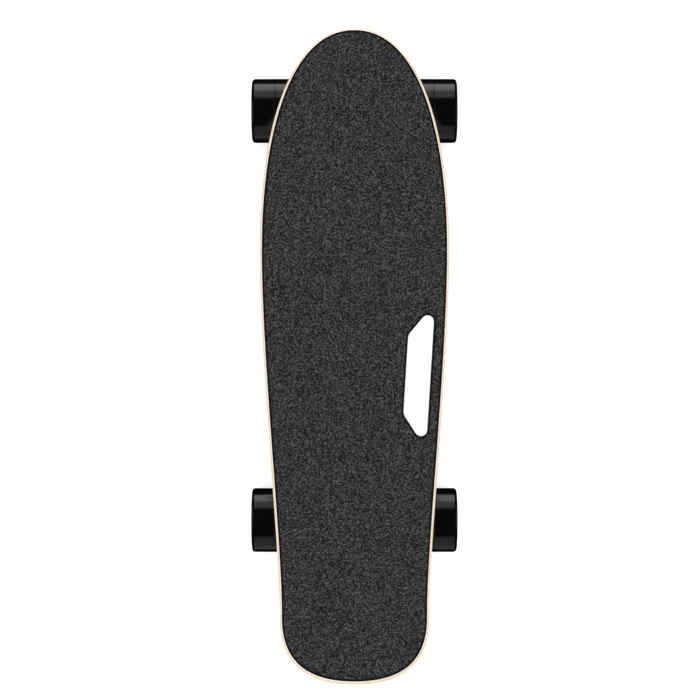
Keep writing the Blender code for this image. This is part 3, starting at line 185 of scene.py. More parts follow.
class PackSizes(bpy.types.PropertyGroup):
    wall: length("Wall", 0.0025, "Wall of the tray")
    corner: length("Corner", 0.012, "Radius of the tray's upright corners")
    bottom_edge: length("Bottom edge", 0.007, "Rounding round the tray's floor")
    flange: length("Flange", 0.007, "Width of the flange")
    groove: length("Groove width", 0.004, "Width of a groove in the tray's floor")
    groove_depth: length("Groove depth", 0.0009, "Depth of a groove in the tray's floor")
    grooves: count("Grooves", 5, 0, "Grooves in the tray's floor")
    screws: count("Side screws", 5, 2, "Screws along each side of the flange")
    cable_radius: length("Cable radius", 0.003, "Radius of the motor cable")
    cells: count("Cells", 11, 2, "Cells in a row along the battery pack")


class Colours(bpy.types.PropertyGroup):
    maple: colour("Maple", (0.89, 0.795, 0.69), "Pale maple ply")
    maple_grain: colour("Maple grain", (0.66, 0.50, 0.36), "Darker lines in the maple")
    glue_line: colour("Glue line", (0.30, 0.235, 0.18), "Line between two plies")
    grip: colour("Grip", (0.0055, 0.0055, 0.0060), "Grip tape between its bright grains")
    grip_grain: colour("Grip grain", (0.046, 0.046, 0.0485), "Bright grains of the grip tape")
    urethane: colour("Urethane", (0.0022, 0.0022, 0.0023), "Black tyres")
    casting: colour("Casting", (0.016, 0.016, 0.017), "Powder coat on the castings")
    steel: colour("Steel", (0.60, 0.60, 0.61), "Zinc-plated steel")
    black_steel: colour("Black steel", (0.030, 0.030, 0.032), "Blackened steel")
    nylon: colour("Nylon", (0.014, 0.014, 0.015), "Moulded black nylon")
    bushing: colour("Bushing", (0.62, 0.085, 0.018), "Cast urethane bushings")
    rubber: colour("Rubber", (0.012, 0.012, 0.012), "Black rubber")
    alloy: colour("Alloy", (0.66, 0.66, 0.68), "Turned aluminium")
    copper: colour("Copper", (0.70, 0.29, 0.12), "Enamelled copper wire")
    battery: colour("Battery", (0.03, 0.13, 0.42), "Heat-shrink sleeve of the battery pack")
    lens: colour("Lens", (0.010, 0.018, 0.012), "Smoked lens of the battery gauge")
    lamp: colour("Lamp", (0.10, 0.90, 0.25), "Bars that show the battery's charge")
    floor: colour("Floor", (0.86, 0.86, 0.86), "Studio floor")


class StudioSizes(bpy.types.PropertyGroup):
    camera_height: length("Camera height", 2.70, "Height of the camera over the floor")
    camera_x: FloatProperty(
        name="Camera X", description="Camera's place across the board", default=-0.0048, unit="LENGTH"
    )
    camera_y: FloatProperty(
        name="Camera Y", description="Camera's place along the board", default=0.0051, unit="LENGTH"
    )
    framed_width: length("Framed width", 0.749, "Width that the camera sees at the deck's height")
    sensor: length("Sensor", 0.036, "Width of the camera's sensor")
    floor_radius: length("Floor radius", 9.0, "Radius of the floor")
    overhead_power: light("Overhead", 32.0, "Wide soft light over the board")
    nose_power: light("Nose card", 62.0, "Soft light low beyond the nose")
    upper_nose_power: light("Upper nose card", 22.0, "Dimmer soft light above the nose card")
    tail_power: light("Tail card", 24.0, "Tall soft light beyond the tail")
    side_power: light("Side cards", 11.0, "Soft lights to the left and the right")
    floor_glow: FloatProperty(
        name="Floor glow", description="Light that comes up through the floor", default=0.5, min=0.0
    )
    sky: FloatProperty(
        name="Sky", description="Strength of the soft light all round", default=1.05, min=0.0
    )


SIZE_GROUPS = {
    "board_deck": DeckSizes,
    "board_handle": HandleSizes,
    "board_wheels": WheelSizes,
    "board_trucks": TruckSizes,
    "board_pack": PackSizes,
    "board_colours": Colours,
    "board_studio": StudioSizes,
}


# ---------------------------------------------------------------- finishes


class Signal:
    """A number that a material works out over the surface, written as ordinary arithmetic."""

    def __init__(self, finish, socket):
        self.finish = finish
        self.socket = socket

    def __add__(self, other):
        return self.finish.maths("ADD", self, other)

    def __radd__(self, other):
        return self.finish.maths("ADD", other, self)

    def __sub__(self, other):
        return self.finish.maths("SUBTRACT", self, other)

    def __rsub__(self, other):
        return self.finish.maths("SUBTRACT", other, self)

    def __mul__(self, other):
        return self.finish.maths("MULTIPLY", self, other)

    def __rmul__(self, other):
        return self.finish.maths("MULTIPLY", other, self)

    def __abs__(self):
        return self.finish.maths("ABSOLUTE", self)

    def fraction(self):
        """What is left of the number above a whole one."""
        return self.finish.maths("FRACT", self)

    def ramp(self, low, high):
        """0 below low, 1 above high and smooth between them. Low may be the larger one."""
        return self.finish.node(
            "ShaderNodeMapRange",
            {"interpolation_type": "SMOOTHSTEP"},
            {"Value": self, "From Min": low, "From Max": high},
        )


class Finish:
    """One material: its shader's plain values, and the nodes that vary it over the surface."""

    def __init__(self, name, **values):
        self.material = bpy.data.materials.new(f"{name}_finish")
        self.material.use_nodes = True
        self.tree = self.material.node_tree
        self.shader = self.tree.nodes["Principled BSDF"]
        for socket, value in values.items():
            self.shader.inputs[socket.replace("_", " ").title().replace("Ior", "IOR")].default_value = value
        self.place = self.node("ShaderNodeTexCoord", output="Object")

    def node(self, kind, settings=None, inputs=None, output=0):
        """Adds a node, with its settings first and then the values or signals of its sockets."""
        made = self.tree.nodes.new(kind)
        for setting, value in (settings or {}).items():
            setattr(made, setting, value)
        for socket, value in (inputs or {}).items():
            if isinstance(value, Signal):
                self.tree.links.new(value.socket, made.inputs[socket])
            else:
                made.inputs[socket].default_value = value
        return Signal(self, made.outputs[output])

    def maths(self, operation, *values):
        """A Math node on numbers and signals."""
        return self.node("ShaderNodeMath", {"operation": operation}, dict(enumerate(values)))

    def mix(self, share, first, second):
        """A colour between two others. Either may be a plain colour or a signal."""
        ends = [value if isinstance(value, Signal) else (*value, 1.0) for value in (first, second)]
        inputs = {0: share, 6: ends[0], 7: ends[1]}
        return self.node("ShaderNodeMix", {"data_type": "RGBA"}, inputs, output=2)

    def stretched(self, x, y, z):
        """The object's coordinates, scaled along each axis."""
        return self.node("ShaderNodeMapping", None, {"Vector": self.place, "Scale": (x, y, z)})

    def noise(self, scale, detail=2.0, roughness=0.5, place=None, distortion=0.0):
        """Soft mottling, with about as many blotches to a metre as the scale says."""
        inputs = {"Vector": place or self.place, "Scale": scale, "Detail": detail}
        inputs.update({"Roughness": roughness, "Distortion": distortion})
        return self.node("ShaderNodeTexNoise", None, inputs)

    def cells(self, scale, output):
        """Round cells: their distance from the middle, or each one's own colour."""
        return self.node("ShaderNodeTexVoronoi", None, {"Vector": self.place, "Scale": scale}, output)

    def first_part(self, vector):
        """The X of a vector, or the red of a colour."""
        return self.node("ShaderNodeSeparateXYZ", None, {0: vector}, "X")

    def attribute(self, name):
        """A value that the mesh holds for each of its points."""
        return self.node("ShaderNodeAttribute", {"attribute_name": name}, output="Fac")

    def edges(self):
        """Above a half on ridges and below it in hollows."""
        return self.node("ShaderNodeNewGeometry", output="Pointiness")

    def set(self, socket, signal):
        """Lets a signal feed one of the shader's sockets."""
        self.tree.links.new(signal.socket, self.shader.inputs[socket])

    def bump(self, height, depth):
        """Raises the surface by up to the depth, in metres, where the height is 1."""
        inputs = {"Strength": 1.0, "Distance": depth, "Height": height}
        self.set("Normal", self.node("ShaderNodeBump", None, inputs))


def add_maple(colours):
    """Pale ply with grain along the board, and the lines between plies on its cut edges."""
    finish = Finish("maple", coat_weight=0.25, coat_roughness=0.30)
    grain_place = finish.stretched(1.0, 0.035, 0.12)
    broad = finish.noise(26.0, 3.0, 0.55, grain_place, 0.6)
    fine = finish.noise(420.0, 4.0, 0.65, grain_place)
    pores = finish.noise(1500.0, 2.0, 0.5, finish.stretched(1.0, 0.06, 0.2)).ramp(0.62, 0.74)
    grain = (broad * 0.5 + fine * 0.5).ramp(0.42, 0.66) * 0.42 + pores * 0.16
    ply = finish.attribute("ply_height") * PLIES
    line = abs(ply.fraction() - 0.5).ramp(0.36, 0.46)
    layer = ply - ply.fraction()
    tint = (layer * 0.5).fraction() * 2.0
    wood = finish.mix(grain, colours.maple, colours.maple_grain)
    warmer = [share * level for share, level in zip((0.92, 0.84, 0.74), colours.maple)]
    wood = finish.mix(tint, wood, warmer)
    finish.set("Base Color", finish.mix(line * 0.8, wood, colours.glue_line))
    finish.set("Roughness", 0.42 + grain * 0.16)
    finish.bump(fine * 0.5 + pores * -0.5 - line * 0.6, 0.00003)


def add_grip(colours):
    """Coarse black grit on a backing, with a dark band along its cut edge."""
    finish = Finish("grip", specular_ior_level=0.25)
    speckle = finish.noise(560.0, 2.0, 0.6)
    cloud = finish.noise(11.0, 3.0, 0.6)
    bright = finish.first_part(finish.cells(700.0, "Color")).ramp(0.80, 0.97)
    grain = speckle.ramp(0.42, 0.64)
    edge = finish.attribute("cut_edge")
    tone = finish.mix(grain * (0.80 + cloud * 0.40), colours.grip, colours.grip_grain)
    sparkle = [min(1.0, level * 2.2) for level in colours.grip_grain]
    tone = finish.mix(bright * 0.55, tone, sparkle)
    dark = [level * 0.5 for level in colours.grip]
    finish.set("Base Color", finish.mix(edge.ramp(0.0, 0.40) * 0.95, tone, dark))
    finish.set("Roughness", 0.95 - bright * 0.40)
    finish.bump(grain * 0.7 + bright * 0.5, 0.00025)


def add_urethane(colours):
    """Satin black cast urethane, faintly scuffed."""
    finish = Finish("urethane", specular_ior_level=0.5)
    haze = finish.noise(55.0, 4.0, 0.6)
    scuff = finish.noise(900.0, 3.0, 0.7, finish.stretched(0.25, 1.0, 1.0)).ramp(0.60, 0.82)
    dusty = [level + 0.006 for level in colours.urethane]
    finish.set("Base Color", finish.mix(scuff * haze.ramp(0.5, 0.7) * 0.3, colours.urethane, dusty))
    finish.set("Roughness", 0.13 + haze * 0.06 + scuff * 0.05)
    finish.bump(finish.noise(1600.0, 2.0) + scuff * 0.6, 0.00001)


def add_casting(colours):
    """Black powder coat on cast aluminium, rubbed a little on its ridges."""
    finish = Finish("black_casting", specular_ior_level=0.5)
    peel = finish.noise(700.0, 2.0, 0.5)
    rub = finish.edges().ramp(0.545, 0.64) * finish.noise(130.0, 3.0, 0.7).ramp(0.42, 0.62)
    bare = [level * 0.45 for level in colours.alloy]
    finish.set("Base Color", finish.mix(rub * 0.30, colours.casting, bare))
    finish.set("Metallic", rub * 0.35)
    finish.set("Roughness", 0.50 + peel * 0.12 - rub * 0.12)
    finish.bump(peel + finish.noise(210.0, 1.0) * 0.8, 0.00005)


def add_metal(name, tone, roughness, streak, **values):
    """A turned or plated metal, with marks along one direction."""
    finish = Finish(name, metallic=1.0, **values)
    marks = finish.noise(1400.0, 2.0, 0.6, finish.stretched(*streak))
    cloud = finish.noise(70.0, 3.0, 0.6)
    dull = [level * 0.72 for level in tone]
    finish.set("Base Color", finish.mix(marks.ramp(0.35, 0.8) * 0.5 + cloud * 0.25, tone, dull))
    finish.set("Roughness", roughness + marks * 0.10 + cloud * 0.06)
    finish.bump(marks, 0.000008)


def add_moulded(name, tone, roughness, texture, depth, **values):
    """A moulded plastic or rubber with its mould's fine texture."""
    finish = Finish(name, **values)
    grain = finish.noise(texture, 2.0, 0.6)
    pebble = finish.cells(texture * 0.8, "Distance")
    cloud = finish.noise(24.0, 3.0, 0.6)
    lighter = [min(1.0, level * 1.7 + 0.002) for level in tone]
    finish.set("Base Color", finish.mix(grain.ramp(0.4, 0.75) * 0.4 + cloud * 0.3, tone, lighter))
    finish.set("Roughness", roughness + grain * 0.10 - 0.05)
    finish.bump(grain * 0.6 + pebble * 0.6, depth)


def add_winding(colours):
    """Rows of enamelled wire, with painted shade in the grooves between the rows."""
    finish = Finish("winding", metallic=1.0, coat_weight=0.6, coat_roughness=0.2)
    rows = finish.node(
        "ShaderNodeTexWave",
        {"bands_direction": "X"},
        {"Vector": finish.place, "Scale": 420.0, "Distortion": 0.6, "Detail": 1.0},
    )
    # Painted shade: the copper is darkened in the grooves between the rows of wire.
    copper_in_painted_shade = [level * 0.35 for level in colours.copper]
    finish.set("Base Color", finish.mix(rows, copper_in_painted_shade, colours.copper))
    finish.set("Roughness", 0.42 - rows * 0.12)
    finish.bump(rows, 0.00015)


def add_lamp(colours):
    """A lit bar behind the gauge's lens."""
    finish = Finish("gauge_lamp", roughness=0.4)
    glow = finish.noise(300.0, 1.0).ramp(0.1, 0.9)
    dim = [level * 0.75 for level in colours.lamp]
    finish.shader.inputs["Emission Strength"].default_value = 1.4
    finish.set("Base Color", finish.mix(glow, dim, colours.lamp))
    finish.set("Emission Color", finish.mix(glow, dim, colours.lamp))


def finish_of(name):
    """A finish made earlier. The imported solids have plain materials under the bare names."""
    return bpy.data.materials[f"{name}_finish"]


def make_finishes(colours):
    """Every finish of the board, under the name of its slot in the record."""
    add_maple(colours)
    add_grip(colours)
    add_urethane(colours)
    add_casting(colours)
    add_metal("plated_steel", colours.steel, 0.26, (1.0, 0.2, 1.0))
    add_metal("black_steel", colours.black_steel, 0.36, (1.0, 1.0, 0.3))
    add_metal("bare_alloy", colours.alloy, 0.24, (0.15, 1.0, 1.0))
    add_moulded("moulded_nylon", colours.nylon, 0.48, 1300.0, 0.00003)
    add_moulded("tray", colours.nylon, 0.56, 780.0, 0.00010)
    add_moulded("seal", colours.rubber, 0.72, 900.0, 0.00003, specular_ior_level=0.4)
    soft = {"subsurface_weight": 0.25, "subsurface_scale": 0.003}
    add_moulded("bushing", colours.bushing, 0.34, 500.0, 0.00001, **soft)
    add_moulded("battery_wrap", colours.battery, 0.28, 260.0, 0.00002, coat_weight=0.3)
    add_moulded("gauge_lens", colours.lens, 0.14, 200.0, 0.000002, coat_weight=0.6)
    add_winding(colours)
    add_lamp(colours)


# ---------------------------------------------------------------- making meshes


def flattened(made):
    """Keeps the shading of large flat faces flat beside their rounded edges."""
    flat = made.modifiers.new("Flat faces", "WEIGHTED_NORMAL")
    flat.keep_sharp = True


def piece(name, bm, finish, body=None, replaces=(), weighted=False):
    """Turns a finished bmesh into a piece of the board that rides on a body."""
    mesh = bpy.data.meshes.new(name)
    bm.to_mesh(mesh)
    bm.free()
    mesh.shade_smooth()
    mesh.set_sharp_from_angle(angle=SOFT_ANGLE)
    mesh.materials.append(finish_of(finish))
    made = bpy.data.objects.new(name, mesh)
    bpy.context.scene.collection.objects.link(made)
    if weighted:
        flattened(made)
    if body:
        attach(made, body)
    if replaces:
        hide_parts(*replaces)
    return made


def frozen(made):
    """Applies a piece's modifiers, so that its mesh is final."""
    bpy.context.view_layer.update()
    graph = bpy.context.evaluated_depsgraph_get()
    mesh = bpy.data.meshes.new_from_object(made.evaluated_get(graph))
    made.modifiers.clear()
    old, made.data = made.data, mesh
    bpy.data.meshes.remove(old)


def carve(made, tool_bm):
    """Cuts a tool out of a piece, and leaves the result in the piece's mesh."""
    mesh = bpy.data.meshes.new("tool")
    tool_bm.to_mesh(mesh)
    tool_bm.free()
    tool = bpy.data.objects.new("tool", mesh)
    bpy.context.scene.collection.objects.link(tool)
    cut = made.modifiers.new("Cut", "BOOLEAN")
    cut.operation = "DIFFERENCE"
    cut.solver = "EXACT"
    cut.object = tool
    frozen(made)
    bpy.data.objects.remove(tool, do_unlink=True)
    bpy.data.meshes.remove(mesh)


def merged(*parts, place=None):
    """One bmesh of several, moved to its place."""
    whole = parts[0]
    for part in parts[1:]:
        mesh = bpy.data.meshes.new("part")
        part.to_mesh(mesh)
        part.free()
        whole.from_mesh(mesh)
        bpy.data.meshes.remove(mesh)
    if place is not None:
        whole.transform(place)
    return whole


def softened(points, radius, closed=False, steps=3):
    """A flat path with its corners rounded. The radius is one value, or one for each point."""
    points = [Vector(p) for p in points]
    radii = radius if isinstance(radius, (list, tuple)) else [radius] * len(points)
    made = []
    for i, here in enumerate(points):
        end = not closed and i in (0, len(points) - 1)
        back = points[i - 1] - here
        ahead = points[(i + 1) % len(points)] - here
        if end or not radii[i] or back.angle(ahead) > math.radians(176):
            made.append(here)
            continue
        half = back.angle(ahead) / 2
        reach = min(radii[i] / math.tan(half), back.length * 0.48, ahead.length * 0.48)
        rounding = reach * math.tan(half)
        back.normalize()
        ahead.normalize()
        centre = here + (back + ahead).normalized() * rounding / math.sin(half)
        start = (here + back * reach - centre).normalized()
        finish = (here + ahead * reach - centre).normalized()
        made += [centre + start.slerp(finish, step / steps) * rounding for step in range(steps + 1)]
    return made


def lathe(profile, place=None, steps=ROUND, closed=False):
    """A bmesh turned round the place's Z, from (radius, height) pairs."""
    bm = bmesh.new()
    line = [bm.verts.new((max(p[0], 0.0), 0, p[1])) for p in profile]
    edges = [bm.edges.new(pair) for pair in zip(line, line[1:])]
    if closed:
        edges.append(bm.edges.new((line[-1], line[0])))
    bmesh.ops.spin(
        bm, geom=line + edges, cent=(0, 0, 0), axis=(0, 0, 1), angle=math.tau, steps=steps, use_merge=True
    )
    bmesh.ops.remove_doubles(bm, verts=bm.verts, dist=MERGE)
    bmesh.ops.recalc_face_normals(bm, faces=bm.faces)
    if place is not None:
        bm.transform(place)
    return bm


def turned(profile, soft, place=None, faces=ROUND, ring=False, steps=3):
    """A bmesh turned from a profile with softened corners. A ring's profile is closed."""
    return lathe(softened(profile, soft, ring, steps), place, faces, ring)


def hexagonal(bm, half_flats, chosen=lambda v: True):
    """Presses a turned shape into a hexagon, so that its chamfers meet the flats in curves."""
    for vertex in bm.verts:
        radius = math.hypot(vertex.co.x, vertex.co.y)
        if radius < MERGE or not chosen(vertex):
            continue
        turn = math.atan2(vertex.co.y, vertex.co.x) % (math.tau / HEX) - math.pi / HEX
        limit = half_flats / math.cos(turn)
        if radius > limit:
            vertex.co.x *= limit / radius
            vertex.co.y *= limit / radius
    return bm


def hex_nut(half_flats, low, height, bore, place, collar=0.0):
    """A nut with chamfered corners and, with a collar, the nylon ring of a lock nut on its low end."""
    corner = half_flats / math.cos(math.pi / HEX)
    chamfer = corner - half_flats
    top = low + height
    outer = [(bore, top - 0.0004), (bore + 0.0004, top), (half_flats - chamfer * 0.3, top)]
    outer += [(corner, top - chamfer * 0.75)]
    bottom = low + collar
    outer += [(corner, bottom + chamfer * 0.75), (half_flats - chamfer * 0.3, bottom)]
    if collar:
        rim = half_flats * 0.90
        outer += [(rim, bottom - 0.0001), (rim, low + 0.0007), (rim - 0.0007, low), (bore + 0.0009, low)]
        outer += [(bore + 0.0005, low + 0.0006)]
    outer += [(bore, bottom + 0.0004)]
    bm = hexagonal(turned(outer, 0.0002, ring=True, steps=2), half_flats)
    bm.transform(place)
    return bm


def socket_screw(head, height, shank, depth, place):
    """A screw whose head stands on z = 0, with a hexagonal recess, and whose shank goes down from it."""
    well = head * 0.42
    floor = height * 0.35
    shoulder = height * 0.65
    profile = [(0, floor), (well, floor), (well, height * 0.93), (well + 0.0002, height)]
    profile += [(head * 0.72, height), (head * 0.95, shoulder), (head, height * 0.25), (head, 0)]
    profile += [(shank, 0), (shank, -depth + shank * 0.5), (shank * 0.5, -depth), (0, -depth)]
    bm = turned(profile, 0.00015, faces=SMALL, steps=2)
    hexagonal(bm, well * 0.87, lambda v: v.co.z > floor * 0.9 and v.co.xy.length < well + 0.0001)
    bm.transform(place)
    return bm


def wall(bm, rings):
    """Extrudes a closed ring of points through the others. Gives the first and the last ring's edges."""
    verts = [bm.verts.new(point) for point in rings[0]]
    first = last = [bm.edges.new((verts[i - 1], verts[i])) for i in range(len(verts))]
    for ring in rings[1:]:
        new = set(bmesh.ops.extrude_edge_only(bm, edges=last)["geom"])
        verts = [next(e.other_vert(v) for e in v.link_edges if e.other_vert(v) in new) for v in verts]
        for vertex, point in zip(verts, ring):
            vertex.co = point
        last = [bm.edges.get((verts[i - 1], verts[i])) for i in range(len(verts))]
    return first, last


def level_edges(bm):
    """The edges where a block's level faces meet its walls."""
    level = [e for e in bm.edges if abs(e.verts[0].co.z - e.verts[1].co.z) < MERGE]
    return [e for e in level if e.calc_face_angle(0) > math.radians(60)]


def bevel(bm, edges, offset, segments):
    """Rounds edges of a bmesh."""
    bmesh.ops.bevel(
        bm,
        geom=edges,
        offset=offset,
        offset_type="OFFSET",
        segments=segments,
        profile=0.5,
        affect="EDGES",
        material=-1,
        clamp_overlap=True,
    )


def box(low, high, edge=0.0, edge_steps=2, corner=0.0):
    """A bmesh box between two corners, with its upright edges rounded and then its level ones."""
    low, high = Vector(low), Vector(high)
    bm = bmesh.new()
    bmesh.ops.create_cube(bm, size=1.0)
    bmesh.ops.scale(bm, vec=high - low, verts=bm.verts)
    bmesh.ops.translate(bm, vec=(low + high) / 2, verts=bm.verts)
    if corner:
        upright = [e for e in bm.edges if abs(e.verts[0].co.z - e.verts[1].co.z) > MERGE]
        bevel(bm, upright, corner, 4)
    if edge:
        bevel(bm, level_edges(bm), edge, edge_steps)
    return bm


def circle(radius, steps, centre=(0.0, 0.0)):
    """Points round a level circle."""
    turns = (math.tau * i / steps for i in range(steps))
    return [Vector((centre[0] + radius * math.cos(a), centre[1] + radius * math.sin(a))) for a in turns]


def rectangle(half_x, half_y, radius, centre=(0.0, 0.0), steps=8, hole=False):
    """Points clockwise round a level rectangle with rounded corners, or the other way for a hole."""
    ends = [(-1, -1), (1, -1), (1, 1), (-1, 1)]
    points = [Vector((centre[0] + i * half_x, centre[1] + j * half_y)) for i, j in ends]
    loop = softened(points, radius, True, steps)
    return loop if hole else loop[::-1]


def tube(points, radius, steps):
    """A round tube along a path, with closed ends, swept by turning its section from point to point."""
    bm = bmesh.new()
    rings = []
    normal = (points[1] - points[0]).orthogonal().normalized()
    for i, point in enumerate(points):
        ahead = (points[min(i + 1, len(points) - 1)] - points[max(i - 1, 0)]).normalized()
        normal = (normal - ahead * normal.dot(ahead)).normalized()
        across = ahead.cross(normal)
        rings.append([point + normal * p.x + across * p.y for p in circle(radius, steps)])
    for cap in wall(bm, rings):
        bmesh.ops.edgeloop_fill(bm, edges=cap)
    bmesh.ops.recalc_face_normals(bm, faces=bm.faces)
    return bm


def smooth_route(points, steps):
    """Points read from a smooth curve through the route's own points."""
    ends = [2 * points[0] - points[1], *points, 2 * points[-1] - points[-2]]
    route = []
    for before, start, end, after in zip(ends, ends[1:], ends[2:], ends[3:]):
        leave, arrive = (end - before) / 6, (after - start) / 6
        route += interpolate_bezier(start, start + leave, end - arrive, end, steps + 1)[:-1]
    return route + [points[-1]]


# ---------------------------------------------------------------- places in the frame


def middle(node):
    """The middle of a solid's box."""
    low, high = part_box(node)
    return (low + high) / 2


def round_size(node):
    """The radius and the half width of a round solid that lies across the board."""
    low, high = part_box(node)
    return (high.z - low.z) / 2, (high.x - low.x) / 2


def bolt_holes(end, radius, profile):
    """The walls of a truck's bolt holes, for a plate."""
    centres = (middle(f"{end}_truck_bolt_{i + 1}").xy for i in range(TRUCK_BOLTS))
    return [(circle(radius, HOLE, centre), profile) for centre in centres]


def kingpin_place(end):
    """The kingpin's frame: the origin in the hanger's ring, +Y up the steering line, +Z to the board."""
    joint = JOINTS[f"{end}_truck_steer"]
    up_line = Vector(joint["axis"])
    across = Vector((math.copysign(1.0, up_line.y), 0, 0))
    place = Matrix((across, up_line, across.cross(up_line))).transposed().to_4x4()
    place.translation = joint["pos_m"]
    return place


def wheel_place(body):
    """A wheel's frame: the origin in its middle, +Z out to its own side of the board."""
    hub = Vector(JOINTS[f"{body}_spin"]["pos_m"])
    side = math.copysign(1.0, hub.x)
    return Matrix.Translation(hub) @ Matrix.Rotation(side * QUARTER, 4, "Y")


def on_tray_wall(y, z):
    """A place on the tray's left wall, with +Z out of it."""
    wall_x = -(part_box("enclosure_tray")[1].x - bpy.context.scene.board_pack.flange)
    return Matrix.Translation((wall_x, y, z)) @ Matrix.Rotation(-QUARTER, 4, "Y")


def control_place(node):
    """The middle of a control's solid, on the tray's wall."""
    return on_tray_wall(*middle(node).yz)


# ---------------------------------------------------------------- deck and grip tape


def inwards(loop, distance):
    """A closed loop moved to the right of its direction: into a plate, from its rim or from a hole."""
    moved = []
    for i, point in enumerate(loop):
        along = (loop[(i + 1) % len(loop)] - loop[i - 1]).normalized()
        moved.append(point + Vector((along.y, -along.x)) * distance)
    return moved


def plate(walls):
    """A closed plate, from (loop, [(distance inwards, height), ...]) for its rim and for each hole."""
    bm = bmesh.new()
    caps = [], []
    for loop, profile in walls:
        rings = [[(p.x, p.y, height) for p in inwards(loop, inset)] for inset, height in profile]
        for cap, edges in zip(caps, wall(bm, rings)):
            cap.extend(edges)
    for cap in caps:
        bmesh.ops.triangle_fill(bm, use_beauty=True, use_dissolve=False, edges=cap, normal=(0, 0, 1))
    bmesh.ops.recalc_face_normals(bm, faces=bm.faces)
    return bm


def rounded_rim(low, high, edge, steps=3):
    """The profile of a plate's edge, rounded at both rims."""
    turns = [QUARTER * i / steps for i in range(steps + 1)]
    bottom = [(edge * (1 - math.sin(a)), low + edge * (1 - math.cos(a))) for a in turns]
    return bottom + [(inset, high + low - height) for inset, height in reversed(bottom)]


def deck_outline():
    """The deck in plan, clockwise from the nose."""
    sizes = bpy.context.scene.board_deck
    half_width, nose_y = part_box("deck")[1].xy
    knots = [
        ((0, nose_y), (0, 0), (sizes.nose_tip, 0)),
        ((half_width, nose_y - sizes.widest_from_nose), (0, sizes.nose_side), (0, -sizes.waist_front)),
        (
            (sizes.shoulder_half_width, sizes.shoulder_from_tail - nose_y),
            (0, sizes.waist_rear),
            (0, -sizes.tail_side),
        ),
        ((0, -nose_y), (sizes.tail_tip, 0), (0, 0)),
    ]
    edge = []
    for (start, _, leave), (end, arrive, _) in zip(knots, knots[1:]):
        start, end = Vector(start), Vector(end)
        edge += interpolate_bezier(start, start + Vector(leave), end + Vector(arrive), end, 44)[:-1]
    edge = [Vector((p.x, p.y)) for p in edge] + [Vector((0, -nose_y))]
    return edge + [Vector((-p.x, p.y)) for p in reversed(edge[1:-1])]


def handle_outline():
    """The hand hole in plan, anticlockwise: its long side outwards, leaning with the deck's edge."""
    sizes = bpy.context.scene.board_handle
    centre_y = -sizes.centre_back
    side = [p for p in deck_outline() if p.x > 0]
    before, after = next(pair for pair in zip(side, side[1:]) if pair[1].y <= centre_y <= pair[0].y)
    edge_x = before.x + (after.x - before.x) * (before.y - centre_y) / (before.y - after.y)
    half = sizes.width / 2
    points = [(half, -sizes.long_side / 2), (half, sizes.long_side / 2)]
    points += [(-half, sizes.short_side / 2), (-half, -sizes.short_side / 2)]
    radii = [sizes.outer_radius] * 2 + [sizes.inner_radius] * 2
    lean = Matrix.Rotation(-sizes.tilt, 2)
    centre = Vector((edge_x - sizes.from_edge - half, centre_y))
    return [centre + lean @ p for p in softened(points, radii, True, 12)]


def kick_start():
    """How far back the kick tail starts to bend up."""
    return JOINTS["rear_left_wheel_spin"]["pos_m"][1] - bpy.context.scene.board_deck.kick_from_axle


def unbent(point):
    """Where a point of the plan lies before the tail is bent up."""
    sizes = bpy.context.scene.board_deck
    run = kick_start() - point.y
    bend_run = sizes.kick_radius * math.sin(sizes.kick_angle)
    if run <= 0:
        return point
    if run < bend_run:
        length_along = sizes.kick_radius * math.asin(run / sizes.kick_radius)
    else:
        length_along = sizes.kick_radius * sizes.kick_angle + (run - bend_run) / math.cos(sizes.kick_angle)
    return Vector((point.x, kick_start() - length_along))


def bend_tail(bm, stations=20):
    """Bends a flat layer's tail up round the kick's arc, and lifts it to the deck's middle height."""
    sizes = bpy.context.scene.board_deck
    radius, angle = sizes.kick_radius, sizes.kick_angle
    start = kick_start()
    arc = radius * angle
    for step in range(stations + 1):
        everything = bm.verts[:] + bm.edges[:] + bm.faces[:]
        station = (0, start - arc * step / stations, 0)
        bmesh.ops.bisect_plane(bm, geom=everything, dist=MERGE, plane_co=station, plane_no=(0, 1, 0))
    for vertex in bm.verts:
        run = start - vertex.co.y
        if run <= 0:
            continue
        turn = min(run / radius, angle)
        straight = max(run - arc, 0)
        lever = radius - vertex.co.z
        vertex.co.y = start - lever * math.sin(turn) - straight * math.cos(turn)
        vertex.co.z = radius - lever * math.cos(turn) + straight * math.sin(turn)
    middle_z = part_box("deck")[0].z + sizes.thickness / 2
    bmesh.ops.translate(bm, vec=(0, 0, middle_z), verts=bm.verts)


def make_deck():
    """Pressed maple with a rounded edge, a hand hole and countersunk holes for the trucks."""
    sizes = bpy.context.scene.board_deck
    bolt = bpy.context.scene.board_trucks
    half = sizes.thickness / 2
    rim = rounded_rim(-half, half, sizes.edge_radius, 8)
    hole = bolt.bolt_radius + GAP
    sink = bolt.bolt_head + 2 * GAP - hole
    countersunk = [(0, -half), (0, half - sink), (sink, half)]
    walls = [([unbent(p) for p in deck_outline()], rim), (handle_outline(), rim)]
    for end in TRUCKS:
        walls += bolt_holes(end, hole, countersunk)
    bm = plate(walls)
    ply = bm.verts.layers.float.new("ply_height")
    for vertex in bm.verts:
        vertex[ply] = 0.5 + 0.97 * vertex.co.z / sizes.thickness
    bend_tail(bm)
    piece("maple_deck", bm, "maple", "deck", ["deck"], weighted=True)


